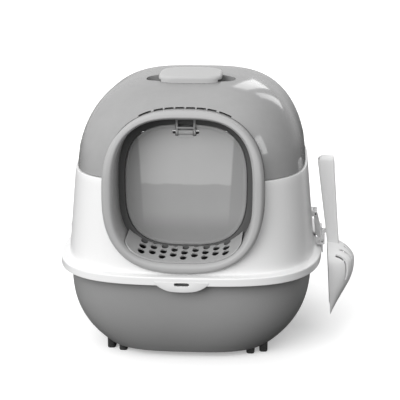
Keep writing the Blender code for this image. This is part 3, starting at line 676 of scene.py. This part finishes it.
def gap_shade_ring(bm):
    outer = entry_outline(0.0, 0.0004)
    inner = [(x, DOOR_Z + z) for x, z in
             oval((DOOR_HALF[0] + SHADE_RING_GAP, DOOR_HALF[1] + SHADE_RING_GAP), DOOR_POWER, len(outer))]
    rings = []
    for outline, share, depth in ((outer, 0.0, -0.0012), (outer, 0.5, -0.0014), (outer, 1.0, -0.0008),
                                  (outer, 1.0, 0.0006), (outer, 0.0, 0.0008)):
        rings.append([(ox + (ix - ox) * share + CENTRE_X, DOOR_PIN[0] + depth, oz + (iz - oz) * share)
                      for (ox, oz), (ix, iz) in zip(outline, inner)])
    loft(bm, rings, closed=True)


gap_shade = new_piece("door_seal", gap_shade_ring)
# Painted shade: a near-black ring that stands for the shade in the gap round the door.
gap_shade_look = moulded("painted_gap_shade", 0.080, 0.50, mottle=0.04)
settle(gap_shade, gap_shade_look, "hood", "bezel_grey")


# --------------------------------------------------
# Drain step: a curved grey grate, moulded to lie in the doorway and reach in under
# the door. Its staggered oval slots knock litter off the paws and drop it back.
# --------------------------------------------------
GRATE_HALF, GRATE_WIDE = 0.080, 0.0870     # behind the door and inside the tunnel
GRATE_CORNER = (0.0144, 0.016)
GRATE_NARROWS = 0.004               # it gets narrower this far before the pin
GRATE_EDGE, GRATE_ROLL = 0.0012, 0.003     # depth and width of the rolled side edges
GRATE_FRONT, GRATE_REAR = -0.2385, -0.097
GRATE_FRONT_Z = 0.1653
GRATE_THICK = 0.0025
DOOR_SWEEP = 0.1772                 # the rear part keeps this far from the pin
SLOT_SIZES = {"Columns": 9, "Rows": 6, "Pitch X": 0.016, "Pitch Y": 0.0212, "Slot Width": 0.0086,
              "Slot Length": 0.0152, "Draft": 0.85, "Centre X": CENTRE_X, "First Y": -0.2200,
              "Last Y": -0.101}


def grate_top(x, y):
    half, height, power = BEZEL_INNER[:3]
    rise = height * (1 - (1 - (abs(x) / half) ** power) ** (1 / power))
    if y < DOOR_PIN[0]:
        share = (y - GRATE_FRONT) / (DOOR_PIN[0] - GRATE_FRONT)
        return GRATE_FRONT_Z + (DOOR_PIN[1] - DOOR_SWEEP - GRATE_FRONT_Z) * share + rise
    return DOOR_PIN[1] - math.sqrt(DOOR_SWEEP ** 2 - (y - DOOR_PIN[0]) ** 2) + rise


def grate_half(y):
    """Full width inside the tunnel with rounded front corners, narrower behind the door."""
    if y > DOOR_PIN[0] - GRATE_NARROWS:
        return GRATE_HALF
    corner = max(0.0, 1 - (y - GRATE_FRONT) / GRATE_CORNER[1])
    return GRATE_WIDE - GRATE_CORNER[0] * (1 - math.sqrt(1 - corner ** 2))


def grate_plate(bm):
    bend, narrows = GRATE_CORNER[1], DOOR_PIN[0] - GRATE_NARROWS
    ys = [GRATE_FRONT + bend * (1 - math.cos(math.pi * i / 20)) for i in range(10)]
    ys += [GRATE_FRONT + bend * (1 + i / 5) for i in range(1, 17)]
    ys = [y for y in ys if y < narrows - 0.001] + [narrows - 0.0005, narrows + 0.0005]
    ys += [DOOR_PIN[0] + (GRATE_REAR - DOOR_PIN[0]) * i / 20 for i in range(21)]
    rings = []
    for y in ys:
        xs = [grate_half(y) * math.sin(math.pi / 2 * (i / 40 - 1)) for i in range(81)]
        rolled = [GRATE_EDGE * max(0.0, (abs(x) - grate_half(y)) / GRATE_ROLL + 1) ** 3 for x in xs]
        top = [(x + CENTRE_X, y, grate_top(x, y) - roll) for x, roll in zip(xs, rolled)]
        under = [(x + CENTRE_X, y, grate_top(x, y) - GRATE_THICK) for x in reversed(xs)]
        rings.append(top + under)
    loft(bm, rings)


grate_graph, grate_in = geometry_tree("staggered_slots", SLOT_SIZES)
columns, rows = grate_in["Columns"], grate_in["Rows"]
lattice = grate_graph.node("GeometryNodeMeshGrid", sockets={
    "Size X": columns - 1.0, "Size Y": rows - 1.0, "Vertices X": columns, "Vertices Y": rows})
cell = grate_graph.node("GeometryNodeInputPosition")
cell_x = axis_of(grate_graph, cell, "X")
cell_y = axis_of(grate_graph, cell, "Y")
odd = grate_graph.math("FLOORED_MODULO", grate_graph.math("ROUND", cell_x), 2.0)
row_index = cell_y + (rows - 1.0) * 0.5
# Each slot's spot starts above the plate and drops on to it.
slot_spot = grate_graph.node("ShaderNodeCombineXYZ", sockets={
    "X": cell_x * grate_in["Pitch X"] + grate_in["Centre X"],
    "Y": grate_in["First Y"] + (row_index + odd * 0.5) * grate_in["Pitch Y"], "Z": 0.3})
lattice = grate_graph.node("GeometryNodeSetPosition", sockets={"Geometry": lattice, "Position": slot_spot})
plate_spot = grate_graph.node("GeometryNodeRaycast", out="Hit Position", sockets={
    "Target Geometry": grate_in["Geometry"], "Ray Direction": (0.0, 0.0, -1.0), "Ray Length": 1.0})
lattice = grate_graph.node("GeometryNodeSetPosition", sockets={"Geometry": lattice, "Position": plate_spot})
slot_end = axis_of(grate_graph, grate_graph.node("GeometryNodeInputPosition"), "Y")
slot_end = slot_end + grate_in["Slot Length"] * 0.5
past = grate_graph.node("FunctionNodeCompare", {"data_type": "FLOAT", "operation": "GREATER_THAN"},
                        {"A": slot_end, "B": grate_in["Last Y"]})
kept = grate_graph.node("FunctionNodeBooleanMath", {"operation": "NOT"}, {0: past})
punch = grate_graph.node("GeometryNodeMeshCone", sockets={
    "Vertices": 24, "Radius Top": 0.5, "Radius Bottom": grate_in["Draft"], "Depth": 0.016})
punch = grate_graph.node("GeometryNodeTransform", sockets={
    "Geometry": punch, "Translation": (0.0, 0.0, -0.011)})
punch_scale = grate_graph.node("ShaderNodeCombineXYZ", sockets={
    "X": grate_in["Slot Width"], "Y": grate_in["Slot Length"], "Z": 1.0})
punches = grate_graph.node("GeometryNodeInstanceOnPoints", sockets={
    "Points": lattice, "Selection": kept, "Instance": punch, "Scale": punch_scale})
pierced = cut_away(grate_graph, grate_in["Geometry"], real(grate_graph, punches))
close_tree(grate_graph, pierced, bezel_look)
grate = new_piece("drain_step", grate_plate)
run_tree(grate, grate_graph, SLOT_SIZES)
settle(grate, bezel_look, "hood", "bezel_grey", "step_grate")


# --------------------------------------------------
# Small mouldings: the door's hanger, the hinge bases, the side clips with their
# brackets, and the scoop's holder. Each is one plastic moulding with rounded edges,
# fixed or pinned to the hood. The pins are drawn steel wire.
# --------------------------------------------------
def rounded(node, name, width, look, slot):
    """A finer copy of a plain piece: doubles merged, flats made whole, edges rounded."""
    source = frame["nodes"][node]
    bm = bmesh.new()
    bm.from_mesh(source.data)
    bmesh.ops.remove_doubles(bm, verts=bm.verts, dist=1e-6)
    bmesh.ops.dissolve_limit(bm, angle_limit=math.radians(1.0), verts=bm.verts, edges=bm.edges)
    mesh = bpy.data.meshes.new(name)
    bm.to_mesh(mesh)
    bm.free()
    item = placed(name, mesh)
    edge = item.modifiers.new("edge", "BEVEL")
    edge.width, edge.segments, edge.limit_method = width, 2, "ANGLE"
    edge.angle_limit = math.radians(40)
    edge.use_clamp_overlap = True
    settle(applied(item), look, source["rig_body"], slot, node, sharp=50.0)


clip_look = moulded("clip_plastic", 0.66, 0.36, mottle=0.02)
rounded("door_hanger", "hanger_bracket", 0.0004, bezel_look, "bezel_grey")
for side in ("left", "right"):
    rounded(f"hood_hinge_{side}", f"hinge_base_{side}", 0.0006, hood_look, "hood_white")
    rounded(f"clip_bracket_{side}", f"clip_hanger_{side}", 0.0005, hood_look, "hood_white")
    rounded(f"clip_{side}", f"swing_clip_{side}", 0.0005, clip_look, "clip_white")
rounded("scoop_holder", "scoop_hook_plate", 0.0004, clip_look, "clip_white")

steel_look, steel = new_look("pin_steel")
wire_place = steel.node("ShaderNodeTexCoord", out="Object")
streak = noise(steel, stretched(steel, wire_place, (0.0, 0.0, 0.0), (0.02, 1.0, 1.0)), 2600.0, 3.0)
spots = noise(steel, wire_place, 320.0, 4.0)
finish_look(steel, Base_Color=grey(steel, 0.08 + streak * 0.08 - spots * 0.03), Metallic=1.0,
            Roughness=0.34 + spots * 0.2, Normal=bump(steel, streak, 0.00002, 0.5))
for node in ("door_pin", "dome_hinge_pin_left", "dome_hinge_pin_right", "clip_pin_left", "clip_pin_right"):
    pin = frame["nodes"][node]
    pin.data.materials.clear()
    pin.data.materials.append(steel_look)


# --------------------------------------------------
# Swinging door: a frosted smoky flap with a rounded bead round its edge. It
# hangs from a pin at its top edge, in a notch cut round the hanger.
# --------------------------------------------------
DOOR_THICK = 0.0025
NOTCH_HALF = 0.0158
KNUCKLE_HALF = 0.0108
KNUCKLE_RADIUS = 0.0042
PIN_BORE = 0.0025
PANEL_LIGHT_FOOT = (0.196, 0.232)         # its raised middle panel, painted lighter for the lit inside seen through it, fades in over these heights
PAINTED_LIGHT_TOP = (0.2672, 0.2712)        # and is painted paler still over these, for brighter light behind its top


def flap(bm):
    half = DOOR_THICK / 2
    section = [(0.0060, -half + 0.0007), (0.0048, -half + 0.0006), (0.0038, -half + 0.0001), (0.0026, -half),
               (0.0010, -half), (0.0002, -half + 0.0004), (0.0, 0.0)]
    rings = []
    for inset, depth in section + [(inset, -depth) for inset, depth in reversed(section[:-1])]:
        outline = oval((DOOR_HALF[0] - inset, DOOR_HALF[1] - inset), DOOR_POWER, 160)
        rings.append([(x + CENTRE_X, DOOR_PIN[0] + depth, DOOR_Z + z) for x, z in outline])
    loft(bm, rings)


def rod_x(bm, radius, half, y, z, count=32):
    turns = [2 * math.pi * (i + 0.5) / count for i in range(count)]
    loft(bm, [[(x + CENTRE_X, y + radius * math.cos(t), z + radius * math.sin(t)) for t in turns]
              for x in (-half, half)])


door = new_piece("swing_door", flap)
pin_y, pin_z = DOOR_PIN
notch = new_piece("notch", lambda bm: slab(bm, (-NOTCH_HALF, pin_y - 0.02, pin_z - 0.0055),
                                           (NOTCH_HALF, pin_y + 0.02, pin_z + 0.02)))
tab = new_piece("tab", lambda bm: slab(bm, (-KNUCKLE_HALF, pin_y - DOOR_THICK / 2, pin_z - 0.008),
                                       (KNUCKLE_HALF, pin_y + DOOR_THICK / 2, pin_z)))
knuckle = new_piece("knuckle", lambda bm: rod_x(bm, KNUCKLE_RADIUS, KNUCKLE_HALF, pin_y, pin_z))
bore = new_piece("bore", lambda bm: rod_x(bm, PIN_BORE, 0.02, pin_y, pin_z))
carve(door, [(notch, "DIFFERENCE"), (tab, "UNION"), (knuckle, "UNION"), (bore, "DIFFERENCE")])

door_look, frost = new_look("door_frosted")
door_place = frost.node("ShaderNodeTexCoord", out="Object")
door_x = axis_of(frost, door_place, "X") - CENTRE_X
door_z = axis_of(frost, door_place, "Z")
fine = noise(frost, door_place, 1900.0, 2.0)
cloud = noise(frost, door_place, 34.0, 4.0)
# Painted light: the middle panel, and more so its top, is tinted paler to stand for the lit inside seen
# through the door; the panel also gets a raised bump at its edge.
panel_edge = 0.0722 - ((DOOR_Z + 0.07) - door_z) * 0.055 + (cloud - 0.5) * 0.0012
panel_and_painted_light = 1.0 - abs(door_x).step(panel_edge - 0.0018, panel_edge + 0.0018)
panel_and_painted_light = panel_and_painted_light * door_z.step(*PANEL_LIGHT_FOOT)
painted_upper_light = (door_z + (cloud - 0.5) * 0.008).step(*PAINTED_LIGHT_TOP)
door_tone_and_light = 0.325 + panel_and_painted_light * 0.035 + panel_and_painted_light * painted_upper_light * 0.105 + (cloud - 0.5) * 0.02 + (fine - 0.5) * 0.01
door_height = fine * 0.00001 + panel_and_painted_light * 0.00012 + cloud * 0.0001
finish_look(frost, Base_Color=grey(frost, door_tone_and_light), Roughness=0.34 + cloud * 0.14 - panel_and_painted_light * 0.05,
            Alpha=0.60 + door_z.step(0.188, 0.226) * 0.22 + panel_and_painted_light * 0.05,
            Normal=bump(frost, door_height), IOR=PLASTIC_IOR)
settle(door, door_look, "door", "door_frost", "door")


# --------------------------------------------------
# Dome: a thin polished cover in smoky see-through plastic. It sits on the
# hood's ledge, wraps the top of the bezel and has a finger dish for the handle.
# --------------------------------------------------
DOME_HALF = (0.182, 0.2235)
DOME_LOW = SEAM[2] + 0.0013
DOME_TOP = 0.4222
DOME_WALL = 0.0025
SIDE_RISE, SIDE_ROUND = 1.7, 3.7    # shoulder curve seen from the front
FRONT_RISE, FRONT_ROUND = 2.2, 3.6  # shoulder curve seen from the side
HANDLE_Y = -0.080
DISH_HALF = (0.070, 0.030)
DISH_FLOOR = 0.398
DISH_POWER = 2.6
DOME_RINGS = 49

DOME_SIZES = {"Half Width": DOME_HALF[0], "Half Depth": DOME_HALF[1], "Low": DOME_LOW, "Top": DOME_TOP,
              "Wall": DOME_WALL, "Plan Power": PLAN_POWER, "Centre X": CENTRE_X, "Around": 193, "Levels": 96}

dome_graph, dome_in = geometry_tree("domed_shell", DOME_SIZES)
levels, plan = dome_in["Levels"], dome_in["Plan Power"]
sheet = dome_graph.node("GeometryNodeMeshGrid", sockets={
    "Size X": 1.0, "Size Y": 1.0, "Vertices X": dome_in["Around"], "Vertices Y": levels})
spot = dome_graph.node("GeometryNodeInputPosition")
turn = (axis_of(dome_graph, spot, "X") + 0.5) * (2 * math.pi)
row = (axis_of(dome_graph, spot, "Y") + 0.5) * (levels - 1.0)
half_rows = levels * 0.5
# Half of the sheet's rows run down the outside, and the rest come back up inside.
inner_side = row.above(half_rows - 0.5)
climb = inner_side * ((row - half_rows) / (half_rows - 1.0))
climb = climb + (1.0 - inner_side) * (1.0 - row / (half_rows - 1.0))
inset = inner_side * dome_in["Wall"]
spread = dome_graph.math("MAXIMUM", 1.0 - climb, 0.0005)
height_share = (1.0 - spread ** SIDE_ROUND) ** (1 / SIDE_RISE)
wide = (dome_in["Half Width"] - inset) * spread
deep = dome_graph.math("MAXIMUM", 1.0 - height_share ** FRONT_RISE, 0.0)
deep = (dome_in["Half Depth"] - inset) * deep ** (1 / FRONT_ROUND)
c, s = dome_graph.math("COSINE", turn), dome_graph.math("SINE", turn)
reach = (abs(c) ** plan + abs(s) ** plan) ** (-1.0 / plan)
dome_z = dome_in["Low"] + (dome_in["Top"] - inset - dome_in["Low"]) * height_share
dome_spot = dome_graph.node("ShaderNodeCombineXYZ", sockets={
    "X": c * reach * wide + dome_in["Centre X"], "Y": s * reach * deep, "Z": dome_z})
sheet = dome_graph.node("GeometryNodeSetPosition", sockets={"Geometry": sheet, "Position": dome_spot})
sheet = dome_graph.node("GeometryNodeMergeByDistance", sockets={"Geometry": sheet, "Distance": 0.00002})

dome_look, smoke = new_look("dome_smoky")
dome_place = smoke.node("ShaderNodeTexCoord", out="Object")
flow = noise(smoke, dome_place, 9.0, 2.0, 0.8)
haze = noise(smoke, dome_place, 60.0, 5.0)
brushed = stretched(smoke, dome_place, (0.4, 0.9, 0.2), (0.08, 1.0, 1.0))
hairs = noise(smoke, brushed, 900.0, 3.0).step(0.66, 0.74)
dome_height = flow * 0.0006 + haze * 0.000012 + hairs * 0.0000015
finish_look(smoke, Base_Color=grey(smoke, 0.325 + (flow - 0.5) * 0.03 + (haze - 0.5) * 0.02),
            Roughness=0.10 + haze * 0.05 + hairs * 0.10, Alpha=0.86 + (haze - 0.5) * 0.03,
            Normal=bump(smoke, dome_height), IOR=1.52, Coat_Weight=0.35, Coat_Roughness=0.03)
close_tree(dome_graph, sheet, dome_look)


def dome_half(z):
    share = max((z - DOME_LOW) / (DOME_TOP - DOME_LOW), 0.0)
    return (DOME_HALF[0] * (1 - share ** SIDE_RISE) ** (1 / SIDE_ROUND),
            DOME_HALF[1] * (1 - share ** FRONT_RISE) ** (1 / FRONT_ROUND))


def dome_block(name, extra):
    """The dome's outside as one solid, for trimming what meets it."""
    rings = []
    for step in range(DOME_RINGS):
        spread = 1 - step / DOME_RINGS
        share = (1 - spread ** SIDE_ROUND) ** (1 / SIDE_RISE)
        z = DOME_LOW + (DOME_TOP - DOME_LOW) * share
        rings.append(ring([half + extra for half in dome_half(z)], z + extra * share, count=192))
    return lofted(name, rings)


def dish(name, extra, floor, top=0.450):
    """Finger dish: narrow at its floor with a rounded rim, open upward."""
    profile = eased([(0.016, 0.008, 0.0), (0.0105, 0.0055, 0.0006), (0.006, 0.0032, 0.0034),
                     (0.0025, 0.0012, 0.0085), (0.0004, 0.0002, 0.0160), (0.0, 0.0, 0.0220)], 3)
    rings = []
    for dx, dy, z in [(dx, dy, floor + dz) for dx, dy, dz in profile] + [(0.0, 0.0, top)]:
        half = (DISH_HALF[0] - dx + extra, DISH_HALF[1] - dy + extra)
        rings.append(ring(half, z, DISH_POWER, (0.0, HANDLE_Y), 96))
    return lofted(name, rings)


VENT_CENTRES = (-0.060, -0.040, -0.024, -0.008, 0.008, 0.024, 0.040, 0.060)
VENT_LENGTHS = (0.018, *[0.0135] * 6, 0.018)
VENT_Y, VENT_RAISE = -0.195, 0.0012
VENT_SIZES = {"Height": 0.0030, "Depth": 0.11}


def arch_height(x):
    half, height, power, centre = BEZEL_OUTER
    return centre + height * (1 - (abs(x) / half) ** power) ** (1 / power)


vent_graph, vent_in = geometry_tree("vents_along_arch", VENT_SIZES)
vent_lines = vent_graph.node("GeometryNodeMeshToCurve", sockets={"Mesh": vent_in["Geometry"]})
vent_section = vent_graph.node("GeometryNodeCurvePrimitiveQuadrilateral", sockets={
    "Width": vent_in["Depth"], "Height": vent_in["Height"]})
vent_bars = vent_graph.node("GeometryNodeCurveToMesh", sockets={
    "Curve": vent_lines, "Profile Curve": vent_section, "Fill Caps": True})
close_tree(vent_graph, vent_bars, dome_look)


def outward(item):
    """Turn the faces of a tree's result outward."""
    bm = bmesh.new()
    bm.from_mesh(item.data)
    bmesh.ops.recalc_face_normals(bm, faces=bm.faces)
    bm.to_mesh(item.data)
    bm.free()
    return item


def vent_cutter():
    """One bar swept along the bezel's edge for each vent."""
    spots, edges = [], []
    for centre, length in zip(VENT_CENTRES, VENT_LENGTHS):
        for i in range(5):
            x = centre + length * (i / 4 - 0.5)
            spots.append((x + CENTRE_X, VENT_Y, arch_height(x) + VENT_RAISE))
            if i:
                edges.append((len(spots) - 2, len(spots) - 1))
    return outward(run_tree(points_piece("vents", spots, edges), vent_graph, VENT_SIZES))


dome = outward(run_tree(points_piece("dome_cover", [(CENTRE_X, 0.0, DOME_LOW)]), dome_graph, DOME_SIZES))
dish_under = dish("dish_under", DOME_WALL, DISH_FLOOR - DOME_WALL)
carve(dish_under, [(dome_block("dome_limit", 0.0), "INTERSECT")])
carve(dome, [(dish_under, "UNION"), (dish("dish_hollow", 0.0, DISH_FLOOR), "DIFFERENCE"),
             (doorway_cutter(), "DIFFERENCE"), (vent_cutter(), "DIFFERENCE")])
settle(dome, dome_look, "dome", "dome_smoke", "dome", sharp=30.0)
for side in ("left", "right"):
    rounded(f"dome_knuckle_{side}", f"dome_hinge_{side}", 0.0005, dome_look, "dome_smoke")


# --------------------------------------------------
# Handle: a grey grip plate bridging the dish from front to back, with a
# softly crowned top and a rolled edge, screwed down from inside the dome.
# --------------------------------------------------
HANDLE_HALF = (0.049, 0.039)
HANDLE_Z, HANDLE_SLOPE, HANDLE_CROWN = 0.4234, 0.085, 0.6


def grip_plate(bm):
    def outline(inset, z):
        return ring([half - inset for half in HANDLE_HALF], z, 4.0, (0.0, HANDLE_Y), 112)

    rings = [outline(0.0, 0.405)]
    for inset, rise in eased([(0.0, -0.0010), (0.0, 0.0022), (0.0006, 0.0040), (0.0022, 0.0055),
                              (0.0050, 0.0063), (0.0100, 0.0066), (0.0200, 0.0068), (0.0340, 0.0069)], 3):
        rings.append([(x, y, z + HANDLE_SLOPE * (y - HANDLE_Y) - HANDLE_CROWN * (x - CENTRE_X) ** 2)
                      for x, y, z in outline(inset, HANDLE_Z + rise)])
    loft(bm, rings)


handle = new_piece("grip_plate", grip_plate)
finger_way = new_piece("finger_way", lambda bm: slab(bm, (-0.06, HANDLE_Y - DISH_HALF[1], 0.39),
                                                     (0.06, HANDLE_Y + DISH_HALF[1], 0.4205)))
carve(handle, [(dome_block("dome_under_plate", 0.0003), "DIFFERENCE"), (finger_way, "DIFFERENCE")])
handle_look = moulded("handle_plastic", 0.41, 0.42, grain=0.00002, mottle=0.02)
settle(handle, handle_look, "dome", "handle_white", "dome_handle")


# --------------------------------------------------
# Scoop: one pale moulding, a channelled handle and a deep bowl with sifting
# slots in its belly. A hook behind the neck hangs it on the hood's holder.
# --------------------------------------------------
SCOOP_Y = -0.044
SCOOP_TOP, SCOOP_TIP, SCOOP_NECK = 0.2915, 0.0365, 0.1500
NECK_LEFT, NECK_RIGHT = 0.2190, 0.2378
GRIP_HALF, CHANNEL_HALF = 0.0125, 0.0098
GRIP_WALL = 0.0030
BOWL_SECTIONS = ((0.1525, 0.0120, 0.0175), (0.1460, 0.0225, 0.0275), (0.1385, 0.0340, 0.0355),
                 (0.1290, 0.0410, 0.0418), (0.1190, 0.0435, 0.0425), (0.1040, 0.0440, 0.0400),
                 (0.0900, 0.0430, 0.0345), (0.0770, 0.0415, 0.0270), (0.0640, 0.0390, 0.0190),
                 (0.0500, 0.0360, 0.0105), (SCOOP_TIP, 0.0320, 0.0024))
BOWL_POWER = 2.5
BOWL_WALL = 0.0022


def scoop_left(z):
    slope = 0.1357 if z > SCOOP_NECK else 0.0588
    return NECK_LEFT - slope * (z - SCOOP_NECK)


def scoop_right(z):
    return NECK_RIGHT - 0.0772 * (z - SCOOP_NECK)


def bowl_ring(z, half_width, depth, open_side=0.0, count=48):
    """A level section: straight rim towards the box and a round belly."""
    left = scoop_left(z)
    points = [(left - open_side, SCOOP_Y - half_width)] if open_side else []
    for step in range(count + 1):
        angle = math.pi * (step / count - 0.5)
        c, s = max(math.cos(angle), 0.0), math.sin(angle)
        reach = (c ** BOWL_POWER + abs(s) ** BOWL_POWER) ** (-1 / BOWL_POWER)
        points.append((left + depth * c * reach, SCOOP_Y + half_width * s * reach))
    if open_side:
        points.append((left - open_side, SCOOP_Y + half_width))
    return [(x + CENTRE_X, y, z) for x, y in points]


def scoop_handle(bm):
    rings = []
    for z, inset in eased([(0.1470, 0.0), (0.20, 0.0), (0.2790, 0.0), (0.2850, 0.0012), (0.2892, 0.0035),
                           (SCOOP_TOP, 0.0070)], 4):
        left, right = scoop_left(z) + inset, scoop_right(z)
        half = ((right - left) / 2, GRIP_HALF - inset / 2)
        rings.append(ring(half, z, 8.0, ((left + right) / 2, SCOOP_Y), 96))
    loft(bm, rings)


def handle_channel(bm):
    rings = []
    for z in (0.164, 0.273):
        left, right = scoop_left(z) + GRIP_WALL + CENTRE_X, scoop_right(z) + 0.01 + CENTRE_X
        rings.append([(left, SCOOP_Y - CHANNEL_HALF, z), (right, SCOOP_Y - CHANNEL_HALF, z),
                      (right, SCOOP_Y + CHANNEL_HALF, z), (left, SCOOP_Y + CHANNEL_HALF, z)])
    loft(bm, rings)


def hang_hook(bm):
    outline = ((0.2099, 0.1515), (0.2122, 0.1515), (0.2122, 0.1662), (0.2215, 0.1662), (0.2215, 0.1705),
               (0.2112, 0.1705), (0.2099, 0.1692))
    prism(bm, outline, SCOOP_Y - 0.007, SCOOP_Y + 0.007)


bowl_levels = eased(BOWL_SECTIONS, 4)
hollow_levels = [(z if z > SCOOP_TIP else z - 0.002, half - BOWL_WALL, max(depth - BOWL_WALL, 0.0004), 0.008)
                 for z, half, depth in eased(BOWL_SECTIONS[1:], 4)]
scoop = lofted("litter_scoop", [bowl_ring(*level) for level in bowl_levels])
bowl_hollow = lofted("bowl_hollow", [bowl_ring(*level) for level in hollow_levels])
carve(scoop, [(bowl_hollow, "DIFFERENCE"), (new_piece("scoop_handle", scoop_handle), "UNION"),
              (new_piece("handle_channel", handle_channel), "DIFFERENCE"),
              (new_piece("hang_hook", hang_hook), "UNION")])

SIFT_SIZES = {"Count": 7, "Pitch": 0.0118, "Slot Width": 0.0036, "Slot Height": 0.052, "Reach": 0.040,
              "Middle": (0.252 + CENTRE_X, SCOOP_Y, 0.120)}

sift_graph, sift_in = geometry_tree("sifting_slots", SIFT_SIZES)
sift_step = sift_graph.node("GeometryNodeInputIndex") - (sift_in["Count"] - 1.0) * 0.5
sift_line = sift_graph.node("GeometryNodeMeshLine", sockets={"Count": sift_in["Count"]})
sift_shift = sift_graph.node("ShaderNodeCombineXYZ", sockets={
    "Y": sift_step * sift_in["Pitch"], "Z": sift_step * sift_step * -0.0003})
sift_spot = sift_graph.node("ShaderNodeVectorMath", {"operation": "ADD"},
                            {0: sift_in["Middle"], 1: sift_shift})
sift_line = sift_graph.node("GeometryNodeSetPosition", sockets={"Geometry": sift_line, "Position": sift_spot})
sift_block = sift_graph.node("GeometryNodeMeshCube", sockets={"Size": (1.0, 1.0, 1.0)})
sift_size = sift_graph.node("ShaderNodeCombineXYZ", sockets={
    "X": sift_in["Reach"], "Y": sift_in["Slot Width"],
    "Z": sift_in["Slot Height"] * (1.0 - sift_step * sift_step * 0.020)})
sift_bars = sift_graph.node("GeometryNodeInstanceOnPoints", sockets={
    "Points": sift_line, "Instance": sift_block, "Scale": sift_size})
sifted = cut_away(sift_graph, sift_in["Geometry"], real(sift_graph, sift_bars))
scoop_look = moulded("scoop_plastic", 0.70, 0.34, mottle=0.015, scuff=0.12)
close_tree(sift_graph, sifted, scoop_look)
run_tree(scoop, sift_graph, SIFT_SIZES)
settle(scoop, scoop_look, "scoop", "scoop_grey", "scoop")
